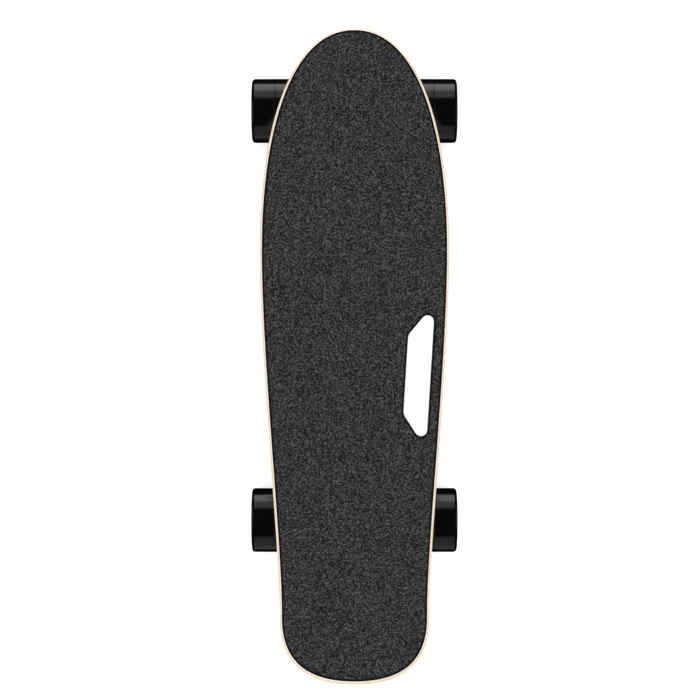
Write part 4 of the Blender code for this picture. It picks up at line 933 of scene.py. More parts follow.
def make_grip_tape():
    """The sheet of grit on the deck, cut just short of its edge."""
    sizes = bpy.context.scene.board_deck
    low = sizes.thickness / 2 + GAP / 3
    high = sizes.thickness / 2 + GAP + sizes.grip_thickness
    lip = 0.0004
    rim = [(0, low), (0, high - lip), (lip / 2, high - lip / 4), (lip, high), (sizes.edge_band, high)]
    outer = inwards([unbent(p) for p in deck_outline()], sizes.grip_inset)
    bm = plate([(outer, rim), (inwards(handle_outline(), GAP), rim)])
    cut = bm.verts.layers.float.new("cut_edge")
    for vertex in bm.verts:
        beside = [e.other_vert(vertex).co.z for e in vertex.link_edges]
        vertex[cut] = 0.0 if min(vertex.co.z, *beside) > high - MERGE else 1.0
    bend_tail(bm)
    piece("grip_tape_sheet", bm, "grip", "deck", ["grip_tape"], weighted=True)


# ---------------------------------------------------------------- trucks


def make_casting(node, body):
    """A casting: the solid's shape with its edges melted as a mould leaves them."""
    bm = bmesh.new()
    bm.from_mesh(frame["nodes"][node].data)
    bmesh.ops.remove_doubles(bm, verts=bm.verts, dist=MERGE)
    made = piece(f"{node}_casting", bm, "black_casting")
    voxels = made.modifiers.new("Cast", "REMESH")
    voxels.mode = "VOXEL"
    voxels.voxel_size = bpy.context.scene.board_trucks.cast_grain
    voxels.use_smooth_shade = True
    melt = made.modifiers.new("Melt", "SMOOTH")
    melt.factor = 0.5
    melt.iterations = 4
    frozen(made)
    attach(made, body)
    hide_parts(node)


def make_castings():
    """The hanger and the baseplate of each truck."""
    for end in TRUCKS:
        make_casting(f"{end}_hanger", f"{end}_hanger")
        make_casting(f"{end}_baseplate", "deck")


def make_riser_pads():
    """Shock pads between the deck and the baseplates."""
    bolt_hole = bpy.context.scene.board_trucks.bolt_radius + GAP
    corner, edge = 0.006, 0.0006
    for end in TRUCKS:
        node = f"{end}_riser_pad"
        low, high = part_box(node)
        half = (high - low) / 2
        rim = rounded_rim(low.z, high.z, edge)
        walls = [(rectangle(half.x, half.y, corner, middle(node).xy), rim)]
        walls += bolt_holes(end, bolt_hole, rim)
        piece(f"{end}_shock_pad", plate(walls), "seal", "deck", [node], weighted=True)


def threads(radius, start, end, pitch):
    """The profile of a thread along a rod, as (radius, height) pairs."""
    count = max(1, round(abs(end - start) / pitch))
    step = (end - start) / count
    root = radius - pitch * 0.45
    made = []
    for i in range(count):
        here = start + step * i
        made += [(radius, here + step * 0.15), (root, here + step * 0.5), (radius, here + step * 0.85)]
    return made


def make_kingpin(end, place, seat):
    """A kingpin, with its hexagonal head in the baseplate and a lock nut on its threaded end."""
    sizes = bpy.context.scene.board_trucks
    pin = sizes.kingpin_radius
    head, head_height = 0.0079, 0.005
    seat_wall, washer, past_nut = 0.009, 0.0015, 0.003
    head_low = seat + seat_wall + GAP
    head_high = head_low + head_height
    nut_top = -(seat + washer + GAP)
    nut_low = nut_top - sizes.kingpin_nut
    tip = nut_low - past_nut
    profile = [(0, head_high - 0.0006), (head * 0.5, head_high - 0.0003), (head * 0.84, head_high)]
    profile += [(head, head_high - 0.001), (head, head_low), (pin, head_low), (pin, nut_top + 0.004)]
    profile += threads(pin, nut_top + 0.003, tip + 0.0008, 0.0014)
    profile += [(pin - 0.0009, tip), (0, tip)]
    bm = hexagonal(lathe(profile), head * 0.866, lambda v: v.co.z > head_low - MERGE)
    bm.transform(place)
    piece(f"{end}_kingpin_bolt", bm, "plated_steel", "deck", [f"{end}_kingpin"])

    nut = hex_nut(0.0083, nut_low, sizes.kingpin_nut, pin + 0.0002, place, 0.0022)
    piece(f"{end}_kingpin_lock_nut", nut, "plated_steel", "deck", [f"{end}_kingpin_nut"])


def make_cupped_washer(end, place, seat):
    """The washer that holds the cone bushing's small end."""
    sizes = bpy.context.scene.board_trucks
    bore, rim = sizes.kingpin_radius + GAP, sizes.washer_radius
    washer = [(bore, -seat), (rim - 0.0012, -seat), (rim - 0.0006, -seat + 0.0009)]
    washer += [(rim + 0.0002, -seat + 0.0010), (rim, -seat - 0.0004), (rim - 0.0010, -seat - 0.0013)]
    washer += [(bore, -seat - 0.0013)]
    cup = turned(washer, 0.0003, place, ring=True)
    piece(f"{end}_cupped_washer", cup, "plated_steel", "deck", [f"{end}_road_washer"])


def make_pivot_bush(end, place):
    """The bush in the baseplate that the hanger's pivot pin turns in."""
    up_line = place.to_3x3() @ Vector((0, 1, 0))
    reach = (middle(f"{end}_pivot_cup") - place.translation).dot(up_line)
    half = 0.0055
    mouth, closed_end = reach - half, reach + half
    floor, inside = closed_end - 0.0022, 0.0049
    sleeve = [(0, closed_end), (0.0066, closed_end), (0.0068, mouth + 0.001), (0.0062, mouth)]
    sleeve += [(inside, mouth), (inside, floor), (0, floor)]
    bm = turned(sleeve, 0.0004, place @ Matrix.Rotation(-QUARTER, 4, "X"))
    piece(f"{end}_pivot_bush", bm, "seal", "deck", [f"{end}_pivot_cup"])


def make_kingpins():
    """What stands on each truck's steering line, apart from its bushings."""
    sizes = bpy.context.scene.board_trucks
    seat = sizes.ring_half + sizes.bushing_length + 2 * GAP
    for end in TRUCKS:
        place = kingpin_place(end)
        make_kingpin(end, place, seat)
        make_cupped_washer(end, place, seat)
        make_pivot_bush(end, place)


def make_bushings():
    """The barrel and the cone on each kingpin, between the ring and the baseplate."""
    sizes = bpy.context.scene.board_trucks
    bore = sizes.kingpin_radius + GAP
    low = sizes.ring_half + GAP
    high = low + sizes.bushing_length
    fat, tip = sizes.bushing_radius, sizes.bushing_tip
    barrel = [(bore, high), (fat - 0.0013, high), (fat - 0.0003, high - 0.0022), (fat, (low + high) / 2)]
    barrel += [(fat - 0.0003, low + 0.0022), (fat - 0.0013, low), (bore, low)]
    cone = [(bore, -low), (fat - 0.0004, -low), (fat, -low - 0.0008), (fat - 0.0002, -low - 0.0022)]
    cone += [(tip, -high), (bore, -high)]
    kinds = ("barrel", "board", 1, barrel, 0.0012), ("cone", "road", -1, cone, 0.0008)
    for end in TRUCKS:
        place = kingpin_place(end)
        for kind, side, up, profile, soft in kinds:
            bm = turned(profile, soft, place, FINE, True, 4)
            made = piece(f"{end}_{kind}_bushing", bm, "bushing", replaces=[f"{end}_{side}_bushing"])
            far_end, near_end = (place @ Vector((0, 0, up * height)) for height in (high, low))
            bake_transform(made)


def make_truck_bolts():
    """Countersunk socket bolts, each with a lock nut tight on it under the baseplate."""
    sizes = bpy.context.scene.board_trucks
    shank, head = sizes.bolt_radius, sizes.bolt_head
    well, well_floor, cone_end = head * 0.45, -0.0018, -0.0026
    for end in TRUCKS:
        for i in range(TRUCK_BOLTS):
            node = f"{end}_truck_bolt_{i + 1}"
            low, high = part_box(node)
            place = Matrix.Translation((*middle(node).xy, high.z))
            tip = low.z - high.z
            nut_low = tip + 0.001
            profile = [(0, well_floor), (well, well_floor), (well, -0.0001), (well + 0.0001, 0)]
            profile += [(head - 0.0002, 0), (head, -0.0002), (shank, cone_end), (shank, nut_low + 0.004)]
            profile += threads(shank, nut_low + 0.0035, tip + 0.0006, 0.0008)
            profile += [(shank - 0.0006, tip), (0, tip)]
            bm = lathe(profile, None, SMALL)
            hexagonal(bm, well * 0.87, lambda v: v.co.xy.length < well + 0.00005 and v.co.z > -0.0019)
            bm.transform(place)
            nut = hex_nut(0.0040, nut_low, 0.005, shank + 0.0001, place, 0.0014)
            piece(f"{end}_deck_bolt_{i + 1}", merged(bm, nut), "black_steel", "deck", [node])


def hanger_of(wheel):
    """The body that carries a wheel's axle."""
    return wheel.split("_")[0] + "_hanger"


def make_axles():
    """Axles with threaded ends, and the thin washers on each side of a wheel's bearings."""
    wheels = bpy.context.scene.board_wheels
    radius, pitch = wheels.axle_radius, wheels.thread_pitch
    bore = radius + GAP
    threaded = 0.0085
    for end in TRUCKS:
        low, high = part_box(f"{end}_axle")
        place = Matrix.Translation((0, *middle(f"{end}_axle").yz)) @ Matrix.Rotation(QUARTER, 4, "Y")
        profile = [(0, high.x), (radius - 0.0007, high.x)]
        if end == "front":
            profile += threads(radius, high.x - 0.0007, high.x - threaded, pitch)
        profile += [(radius, high.x - threaded - 0.001), (radius, low.x + threaded + 0.001)]
        profile += threads(radius, low.x + threaded, low.x + 0.0007, pitch)
        profile += [(radius - 0.0007, low.x), (0, low.x)]
        bm = lathe(profile, place, SMALL)
        piece(f"{end}_axle_rod", bm, "plated_steel", f"{end}_hanger", [f"{end}_axle"])
    for name in PLAIN_WHEELS:
        place = wheel_place(name)
        far = wheels.bearing_near + wheels.bearing_width
        rings = []
        for side in (-1, 1):
            near_face, far_face = side * (far + 0.0002), side * (far + 0.0008)
            ring = [(bore, near_face), (0.0066, near_face), (0.0066, far_face), (bore, far_face)]
            rings.append(turned(ring, 0.0001, place, SMALL, True, 2))
        piece(f"{name}_speed_washers", merged(*rings), "plated_steel", hanger_of(name))


# ---------------------------------------------------------------- wheels


def mirrored(profile):
    """The other half of a profile that is the same on both sides of z = 0."""
    return [(p[0], -p[1]) for p in reversed(profile)]


def tread_profile(radius, half, lip):
    """From a tyre's side face over its rounded lip to the raised line that the mould leaves."""
    steps = 10
    turns = (QUARTER * i / steps for i in range(steps + 1))
    over = [(radius - lip + lip * math.sin(a), half - lip + lip * math.cos(a)) for a in turns]
    ridge = 0.00012
    return over + [(radius, 0.0009), (radius, 0.0005), (radius - ridge / 2, 0.0004), (radius, 0.00025)]


def side_rings(radius, face, half):
    """A shallow moulded groove in the flat ring of a tyre's side."""
    centre = radius + face / 2
    depth = 0.0003
    offsets = [(-0.0006, 0), (-0.0003, depth), (0.0003, depth), (0.0006, 0)]
    return [(centre + across, half - down) for across, down in offsets]


def make_tyre(name, root):
    """A cast urethane tyre, hollowed at both sides down to its core."""
    sizes = bpy.context.scene.board_wheels
    radius, half = round_size(f"{name}_tyre")
    bond = sizes.core_radius + 0.0001
    lip_start = radius - sizes.lip_radius - sizes.face
    side = [(bond, root + 0.0002), (bond + 0.0014, root + 0.0004), (lip_start - 0.0012, half - 0.0008)]
    side = [(bond, 0), *side, (lip_start, half), (lip_start + 0.001, half)]
    side = softened(side, 0.0012, steps=4)[1:]
    side += side_rings(lip_start, sizes.face, half) + tread_profile(radius, half, sizes.lip_radius)
    bm = lathe(side + mirrored(side), wheel_place(name), FINE, True)
    piece(f"{name}_urethane", bm, "urethane", name, [f"{name}_tyre"])


def make_core(name, root):
    """A nylon core: a hub for the bearings, a ring in the tyre, and ribs between them at each side."""
    sizes = bpy.context.scene.board_wheels
    near, far = sizes.bearing_near, sizes.bearing_near + sizes.bearing_width
    seat = sizes.bearing_radius + 0.0001
    stop, hub, ring, outer = 0.0092, 0.0139, 0.0185, sizes.core_radius
    web, rib, half_rib = 0.0030, 0.0022, 0.0008
    core = [(stop, near - GAP), (seat, near - GAP), (seat, far + 0.0008)]
    core += [(hub, far + 0.0008), (hub + 0.0004, web), (ring - 0.0004, web), (ring, root - 0.0008)]
    core += [(outer, root - 0.0008)]
    core = softened([(stop, 0), *core, (outer, 0)], 0.0005, steps=2)[1:-1]
    parts = [lathe(core + mirrored(core), closed=True)]
    for i in range(sizes.ribs):
        for side in (-1, 1):
            low, high = sorted((side * rib, side * (far - 0.0004)))
            bm = box((hub - 0.0006, -half_rib, low), (ring + 0.0006, half_rib, high), 0.0003)
            bm.transform(Matrix.Rotation(math.tau * (i + 0.5) / sizes.ribs, 4, "Z"))
            parts.append(bm)
    bm = merged(*parts, place=wheel_place(name))
    piece(f"{name}_ribbed_core", bm, "moulded_nylon", name, [f"{name}_core"])


def make_bearing(name, where, side):
    """A steel bearing with a black shield in each of its faces."""
    sizes = bpy.context.scene.board_wheels
    ends = side * sizes.bearing_near, side * (sizes.bearing_near + sizes.bearing_width)
    bottom, top = sorted(ends)
    bore, inner_race, outer_race = sizes.axle_radius + GAP, 0.0063, 0.0093
    sunk = 0.0005
    ring = [(bore, top), (inner_race, top), (inner_race + 0.0001, top - sunk)]
    ring += [(outer_race - 0.0001, top - sunk), (outer_race, top), (sizes.bearing_radius, top)]
    ring += [(sizes.bearing_radius, bottom), (outer_race, bottom), (outer_race - 0.0001, bottom + sunk)]
    ring += [(inner_race + 0.0001, bottom + sunk), (inner_race, bottom), (bore, bottom)]
    bm = turned(ring, 0.0003, ring=True, steps=2)
    level = [face for face in bm.faces if abs(face.normal.z) > 0.9]
    shields = [f.index for f in level if inner_race < f.calc_center_median().xy.length < outer_race]
    bm.transform(wheel_place(name))
    made = piece(f"{name}_{where}_race", bm, "plated_steel", name, [f"{name}_{where}_bearing"])
    made.data.materials.append(finish_of("seal"))
    for index in shields:
        made.data.polygons[index].material_index = 1


def make_plain_wheel(name):
    """A tyre on a ribbed core, with two bearings and the lock nut that keeps it on its axle."""
    sizes = bpy.context.scene.board_wheels
    root = round_size(f"{name}_tyre")[1] - sizes.dish
    make_tyre(name, root)
    make_core(name, root)
    make_bearing(name, "inner", -1)
    make_bearing(name, "outer", 1)
    height, washer = 0.0060, 0.001
    nut_low = -(sizes.bearing_near + sizes.bearing_width + washer + height)
    flipped = wheel_place(name) @ Matrix.Rotation(math.pi, 4, "X")
    nut = hex_nut(0.0065, nut_low, height, sizes.axle_radius + 0.0001, flipped, 0.0016)
    piece(f"{name}_lock_nut", nut, "plated_steel", hanger_of(name), [f"{name}_axle_nut"])


def motor_reach(node):
    """Where a part of the motor starts and ends along its shaft, from the middle of the wheel."""
    low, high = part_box(node)
    hub = JOINTS[f"{MOTOR_WHEEL}_spin"]["pos_m"][0]
    return low.x - hub, high.x - hub


def make_motor_tyre():
    """The urethane sleeve on the motor's can."""
    lip = bpy.context.scene.board_wheels.lip_radius
    radius, half = round_size("motor_tyre")
    bore = round_size("motor_can")[0] + 0.0002
    side = [(bore, 0), (bore, half - 0.0006), (bore + 0.0010, half), (radius - lip, half)]
    side = softened(side, 0.0004)[1:] + tread_profile(radius, half, lip)[1:]
    bm = lathe(side + mirrored(side), wheel_place(MOTOR_WHEEL), FINE, True)
    piece("motor_urethane", bm, "urethane", MOTOR_WHEEL, ["motor_tyre"])


def make_motor_can():
    """The can that turns round the stator, with fins and screws on its outer face."""
    sizes = bpy.context.scene.board_wheels
    place = wheel_place(MOTOR_WHEEL)
    radius = round_size("motor_can")[0]
    inner, outer = motor_reach("motor_can")
    bore = radius - sizes.can_wall
    end_wall = outer - sizes.can_end
    cup = end_wall - sizes.can_end + 0.0005
    boss, rim, floor = 0.0100, 0.0222, outer - 0.0014
    can = [(0, outer - 0.0010), (0.0055, outer - 0.0010), (0.0062, outer), (boss, outer)]
    can += [(boss + 0.0005, floor), (rim - 0.0005, floor), (rim, outer), (radius - 0.0010, outer)]
    can += [(radius, outer - 0.0010), (radius, inner), (bore, inner), (bore, end_wall)]
    can += [(0.0075, end_wall), (0.0060, cup), (0, cup)]
    pad = [(0, 0.0004), (0.0034, 0.0004), (0.0038, 0), (0, 0)]
    parts = [turned(can, 0.0004, faces=FINE, steps=2)]
    screws = []
    for i in range(12):
        turn = Matrix.Rotation(math.tau * i / 12, 4, "Z")
        if i % 2:
            fin = box((boss - 0.0004, -0.0007, floor - 0.0005), (rim + 0.0004, 0.0007, outer - GAP), 0.0003)
            fin.transform(turn)
            parts.append(fin)
        else:
            stand = turn @ Matrix.Translation((0.0161, 0, floor - 0.00005))
            parts.append(turned(pad, 0.0002, stand, SMALL, steps=2))
            seat = stand @ Matrix.Translation((0, 0, 0.0004))
            screws.append(socket_screw(0.0024, 0.0013, 0.0012, 0.003, seat))
    piece("motor_can_casting", merged(*parts, place=place), "black_casting", MOTOR_WHEEL, ["motor_can"])
    piece("motor_face_screws", merged(*screws, place=place), "plated_steel", MOTOR_WHEEL)


def make_motor_cover():
    """The disc that closes the can towards the hanger, with a ring of small screws."""
    low = motor_reach("motor_can")[0]
    high = low + 0.003
    disc = round_size("motor_can")[0] - bpy.context.scene.board_wheels.can_wall - 0.0002
    cover = [(0.0079, high), (disc, high), (disc, low), (disc - 0.003, low)]
    cover += [(disc - 0.0036, low + 0.0006), (0.0130, low + 0.0006), (0.0122, low), (0.0079, low)]
    parts = [turned(cover, 0.0003, None, FINE, True, 2)]
    for i in range(6):
        stand = Matrix.Rotation(math.tau * i / 6, 4, "Z") @ Matrix.Translation((disc - 0.0016, 0, low))
        flipped = stand @ Matrix.Rotation(math.pi, 4, "X")
        parts.append(socket_screw(0.0013, 0.0005, 0.0008, 0.002, flipped))
    bm = merged(*parts, place=wheel_place(MOTOR_WHEEL))
    piece("motor_end_cover", bm, "black_casting", MOTOR_WHEEL, ["motor_cover"])


def make_stator():
    """Steel teeth that stand still inside the can, each with a copper winding."""
    sizes = bpy.context.scene.board_wheels
    place = wheel_place(MOTOR_WHEEL)
    near, far = motor_reach("motor_stator")
    radius = round_size("motor_stator")[0]
    steel_near, steel_far = near + 0.002, far - 0.002
    bore, yoke = 0.0063, 0.0120
    core = [(bore, steel_far), (yoke, steel_far), (yoke, steel_near), (bore, steel_near)]
    steel = [turned(core, 0.0004, ring=True, steps=2)]
    copper = []
    for i in range(sizes.teeth):
        turn = Matrix.Rotation(math.tau * i / sizes.teeth, 4, "Z")
        shoe = box((radius - 0.0022, -0.0046, steel_near), (radius - 0.0006, 0.0046, steel_far), 0.0004)
        tooth = box((yoke - 0.0005, -0.0016, steel_near), (radius - 0.0020, 0.0016, steel_far))
        shoe.transform(turn)
        tooth.transform(turn)
        steel += [shoe, tooth]
        coil = box((0.0132, -0.0030, near), (radius - 0.0026, 0.0030, far), 0.0014, 3)
        upright = [e for e in coil.edges if abs(e.verts[0].co.z - e.verts[1].co.z) > 0.01]
        bevel(coil, upright, 0.0010, 3)
        coil.transform(turn)
        copper.append(coil)
    piece("stator_laminations", merged(*steel, place=place), "black_steel", "rear_hanger")
    piece("stator_windings", merged(*copper, place=place), "winding", "rear_hanger", ["motor_stator"])


def make_motor_shaft():
    """The fixed shaft, with the collar that its cable leaves through."""
    foot, tip = motor_reach("motor_shaft")
    shoulder = motor_reach("motor_stator")[0] - GAP
    collar_high = motor_reach("motor_can")[0] - 0.0013
    collar_low = collar_high - 0.008
    thin, thick, collar = 0.006, 0.0075, 0.011
    shaft = [(0, tip), (thin, tip), (thin, shoulder), (thick, shoulder), (thick, collar_high)]
    shaft += [(collar, collar_high), (collar, collar_low), (thin, collar_low), (thin, foot), (0, foot)]
    nozzle = [(0, 0.0178), (0.0031, 0.0178), (0.0038, 0.0172), (0.0038, 0.0128), (0.0050, 0.0120)]
    nozzle += [(0.0050, 0.0100), (0, 0.0100)]
    port = turned(nozzle, 0.0003, port_place(), SMALL, steps=2)
    bm = merged(turned(shaft, 0.0006, wheel_place(MOTOR_WHEEL)), port)
    piece("motor_shaft_and_port", bm, "plated_steel", "rear_hanger", ["motor_shaft"])


def make_motor_wheel():
    """The drive wheel, from its tyre in to the shaft of its motor."""
    make_motor_tyre()
    make_motor_can()
    make_motor_cover()
    make_stator()
    make_motor_shaft()


# ---------------------------------------------------------------- motor cable


def port_place():
    """On the motor's shaft, in the middle of its collar, with +Z out of the cable port."""
    hub = Vector(JOINTS[f"{MOTOR_WHEEL}_spin"]["pos_m"])
    from_hub = Vector((-0.0273, 0, 0))
    return Matrix.Translation(hub + from_hub) @ Matrix.Rotation(-QUARTER / 2, 4, "X")


def cable_route():
    """The cable's own points, from the port on the shaft to the rear wall of the tray."""
    sizes = bpy.context.scene.board_pack
    tray_low, tray_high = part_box("enclosure_tray")
    way = [
        (-0.0022, 0.0065, 0.0066),
        (-0.0065, 0.0125, 0.0120),
        (-0.0120, 0.0215, 0.0180),
        (-0.0185, 0.0335, 0.0230),
    ]
    reach, straight, from_side, drop = 0.018, 0.004, 0.01326, 0.012
    mouth = port_place() @ Vector((0, 0, reach + GAP))
    flange_z = tray_high.z - TRAY_FIT - sizes.wall
    entry_x = tray_high.x - sizes.flange - from_side
    entry = Vector((entry_x, tray_low.y + sizes.flange - GAP, flange_z - drop))
    route = [mouth, port_place() @ Vector((0, 0, reach + GAP + straight))]
    route += [mouth + Vector(step) for step in way]
    before_wall = entry + Vector((0, -2 * sizes.cable_radius, 0))
    return route + [(route[-1] + before_wall) / 2, before_wall, entry]


def make_motor_cable():
    """The motor's phase leads in one jacket, held by a boot on the port and a gland on the tray."""
    sizes = bpy.context.scene.board_pack
    radius = sizes.cable_radius
    route = cable_route()
    inside = route[-1] + Vector((0, sizes.wall + 0.002, 0))
    jacket = tube(smooth_route(route, 8) + [inside], radius - 0.0001, 24)
    made = piece("motor_cable_jacket", jacket, "seal", replaces=["motor_cable"])
    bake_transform(made)

    boot = [(radius, 0.0062)]
    for i in range(4):
        height = 0.0058 - i * 0.0014
        swell = radius + 0.0006 + i * 0.0003
        boot += [(swell, height), (swell, height - 0.0008), (swell - 0.0004, height - 0.0011)]
    boot += [(radius + 0.0020, -0.0060), (radius, -0.0060)]
    on_nozzle = port_place() @ Matrix.Translation((0, 0, 0.0176))
    piece("motor_cable_boot", turned(boot, 0.0002, on_nozzle, SMALL, True, 2), "seal", "rear_hanger")

    place = Matrix.Translation(route[-1] + Vector((0, GAP, 0))) @ Matrix.Rotation(QUARTER, 4, "X")
    bore = radius + 0.0002
    nut = hex_nut(0.0056, 0.0, 0.0028, bore, place)
    dome = [(bore, 0.0026), (0.0050, 0.0026), (0.0047, 0.0060), (0.0036, 0.0070), (bore, 0.0070)]
    gland = merged(nut, turned(dome, 0.0006, place, SMALL, True))
    piece("motor_cable_gland", gland, "moulded_nylon", "deck")


# ---------------------------------------------------------------- power pack


def tray_profile(low_z, flange_top):
    """The tray's section, from its floor up its outside, over the flange and down its inside."""
    sizes = bpy.context.scene.board_pack
    edge, inset, out = sizes.bottom_edge, sizes.wall, -sizes.flange
    flange_z = flange_top - sizes.wall
    fillet, rounding, lip = 0.0015, 0.0007, 0.0005
    floor, foot, inside = ([QUARTER * i / steps for i in range(steps + 1)] for steps in (8, 4, 6))
    profile = [(edge * (1 - math.sin(a)), low_z + edge * (1 - math.cos(a))) for a in floor]
    profile += [(-fillet * (1 - math.cos(a)), flange_z - fillet * (1 - math.sin(a))) for a in foot]
    cut = rounding * 0.3
    profile += [(out + rounding, flange_z), (out + cut, flange_z + cut), (out, flange_z + rounding)]
    profile += [(out, flange_top - rounding), (out + cut, flange_top - cut), (out + rounding, flange_top)]
    profile += [(inset - lip, flange_top), (inset, flange_top - lip)]
    inner = edge - inset
    hollow = [(1 - math.sin(a), 1 - math.cos(a)) for a in reversed(inside)]
    return profile + [(inset + inner * x, low_z + inset + inner * z) for x, z in hollow]


def cut_grooves(tray, low_z, half, centre):
    """Cuts the long grooves in the tray's floor."""
    sizes = bpy.context.scene.board_pack
    half_length = half.y - sizes.flange - 0.034
    spread = 2 * (half.x - sizes.flange - sizes.bottom_edge - sizes.groove) / max(sizes.grooves - 1, 1)
    half_groove = sizes.groove / 2
    depths = [(0.0004, low_z + sizes.groove_depth), (0, low_z + 0.0003), (-0.0004, low_z - 0.001)]
    for i in range(sizes.grooves):
        x = (i - (sizes.grooves - 1) / 2) * spread
        loop = rectangle(half_groove, half_length, half_groove - 0.0001, (x, centre.y))
        carve(tray, plate([(loop, depths)]))


def cut_openings(tray):
    """Cuts the tray's walls for the button, the charge socket, the gauge and the motor's cable."""

    def drill(radius, place, faces):
        """Cuts a round hole through the wall."""
        carve(tray, lathe([(0, 0.004), (radius, 0.004), (radius, -0.006), (0, -0.006)], place, faces))

    drill(0.0078, control_place("power_button_bezel"), 48)
    drill(0.0061, charge_place(), 48)
    slot = plate([(rectangle(0.0024, 0.0118, 0.0023), [(0, -0.006), (0, 0.004)])])
    slot.transform(control_place("battery_gauge"))
    carve(tray, slot)
    drill(0.0033, Matrix.Translation(cable_route()[-1]) @ Matrix.Rotation(QUARTER, 4, "X"), 40)


def make_tray():
    """The moulded tray: one shell with a flange, holes for its controls and grooves in its floor."""
    sizes = bpy.context.scene.board_pack
    low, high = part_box("enclosure_tray")
    half = (high - low) / 2
    centre = middle("enclosure_tray").xy
    flange_top = high.z - TRAY_FIT
    base = rectangle(half.x - sizes.flange, half.y - sizes.flange, sizes.corner, centre, 12)
    shell = plate([(base, tray_profile(low.z, flange_top))])
    made = piece("power_pack_tray", shell, "tray", "deck", ["enclosure_tray"])
    cut_grooves(made, low.z, half, centre)
    cut_openings(made)
    made.data.shade_smooth()
    made.data.set_sharp_from_angle(angle=SOFT_ANGLE)
    flattened(made)


def make_tray_screws():
    """The screws that hold the tray's flange to the deck, each on a washer."""
    sizes = bpy.context.scene.board_pack
    low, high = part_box("enclosure_tray")
    half = (high - low) / 2
    centre_y = middle("enclosure_tray").y
    from_edge = sizes.flange / 2 - 0.0004
    run = half.y - sizes.flange - sizes.corner
    seats = []
    for side in (-1, 1):
        steps = (2 * i / (sizes.screws - 1) - 1 for i in range(sizes.screws))
        seats += [(side * (half.x - from_edge), centre_y + run * step) for step in steps]
        seats += [(x, centre_y + side * (half.y - from_edge)) for x in (-0.018, 0.018)]
    washer = [(0.0016, 0), (0.0030, 0), (0.0030, 0.0004), (0.0016, 0.0004)]
    under_flange = high.z - TRAY_FIT - sizes.wall - 0.00005
    parts = []
    for x, y in seats:
        place = Matrix.Translation((x, y, under_flange)) @ Matrix.Rotation(math.pi, 4, "X")
        parts.append(turned(washer, 0.0001, place, SMALL, True, 2))
        on_washer = place @ Matrix.Translation((0, 0, 0.0004))
        parts.append(socket_screw(0.0025, 0.0015, 0.0014, 0.0075, on_washer))
    piece("tray_screws", merged(*parts), "black_steel", "deck")


def make_gasket():
    """The foam seal between the tray's flange and the deck."""
    sizes = bpy.context.scene.board_pack
    low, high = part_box("enclosure_gasket")
    half = (high - low) / 2
    centre = middle("enclosure_gasket").xy
    width = sizes.flange - 0.001
    outer = rectangle(half.x, half.y, sizes.corner + width, centre, 10)
    inner = rectangle(half.x - width, half.y - width, sizes.corner, centre, 10, True)
    rim = rounded_rim(low.z, high.z, 0.0004)
    bm = plate([(outer, rim), (inner, rim)])
    piece("pack_gasket", bm, "seal", "deck", ["enclosure_gasket"], weighted=True)


def make_battery():
    """A row of cells, standing across the board, under one heat-shrink sleeve."""
    low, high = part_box("battery_pack")
    cells = bpy.context.scene.board_pack.cells
    radius = (high.z - low.z) / 2
    pitch = (high.y - low.y - 2 * radius) / (cells - 1)
    steps = 10
    top = []
    for cell in range(cells):
        centre = low.y + radius + pitch * cell
        first = -math.pi / 2 if cell == 0 else -math.asin(pitch / 2 / radius) * 0.86
        last = math.pi / 2 if cell == cells - 1 else math.asin(pitch / 2 / radius) * 0.86
        for step in range(steps + 1):
            turn = first + (last - first) * step / steps
            top.append(Vector((centre + radius * math.sin(turn), radius * math.cos(turn))))
    loop = top + [Vector((p.x, -p.y)) for p in reversed(top[1:-1])]
    half_x = (high.x - low.x) / 2
    sleeve = plate([(loop, rounded_rim(-half_x, half_x, 0.0030, 5))])
    # The loop is (Y, Z), and the plate's own height is the board's X.
    sleeve.transform(Matrix(((0, 0, 1, 0), (1, 0, 0, 0), (0, 1, 0, (low.z + high.z) / 2), (0, 0, 0, 1))))
    piece("battery_cells", sleeve, "battery_wrap", "deck", ["battery_pack"])


def make_controller():
    """Keeps the controller's own finned solid, with a new finish, and adds its three capacitors."""
    node = frame["nodes"]["motor_controller"]
    node.data.materials.clear()
    node.data.materials.append(finish_of("bare_alloy"))
    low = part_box("motor_controller")[0]
    can = [(0, 0.0105), (0.0030, 0.0105), (0.0036, 0.0098), (0.0036, -0.0040), (0, -0.0040)]
    parts = []
    for x in (-0.014, 0, 0.014):
        stand = Matrix.Translation((x, low.y - 0.0040, low.z + 0.0050))
        parts.append(turned(can, 0.0004, stand, SMALL, steps=2))
    piece("controller_capacitors", merged(*parts), "moulded_nylon", "deck")


def charge_place():
    """The charge socket's middle on the tray's wall, with +Y to its cap's hinge."""
    hinge = Vector(JOINTS["charge_port_cap_swing"]["pos_m"])
    return on_tray_wall(hinge.y - CAP_HINGE, hinge.z)


def make_power_button():
    """The power button in its metal ring, with a thin lit ring between them."""
    place = control_place("power_button_bezel")
    bore, face, top = 0.0061, CONTROL_FACE, CONTROL_FACE + 0.0012
    ring = [(bore, -0.0064), (bore, face - 0.0004), (bore + 0.0005, face), (0.0086, face)]
    ring += [(0.0095, face - 0.0008), (0.0095, 0.0002), (0.0075, 0.0002), (0.0075, -0.0064)]
    bm = turned(ring, 0.0003, place, FINE, True)
    piece("button_ring", bm, "bare_alloy", "deck", ["power_button_bezel"])
    sunk, proud = face - 0.0002, face + 0.0001
    glow = [(0.0069, sunk), (0.0076, sunk), (0.0076, proud), (0.0069, proud)]
    lit = turned(glow, 0.0001, place, ring=True, steps=2)
    piece("button_lamp_ring", lit, "gauge_lamp", "deck")
    button = [(0, top - 0.0005), (0.0036, top - 0.0003), (0.0049, top), (0.0058, top - 0.0006)]
    button += [(0.0058, -0.0060), (0, -0.0060)]
    cap = turned(button, 0.0005, place, steps=4)
    piece("button_cap", cap, "moulded_nylon", "power_button", ["power_button"])


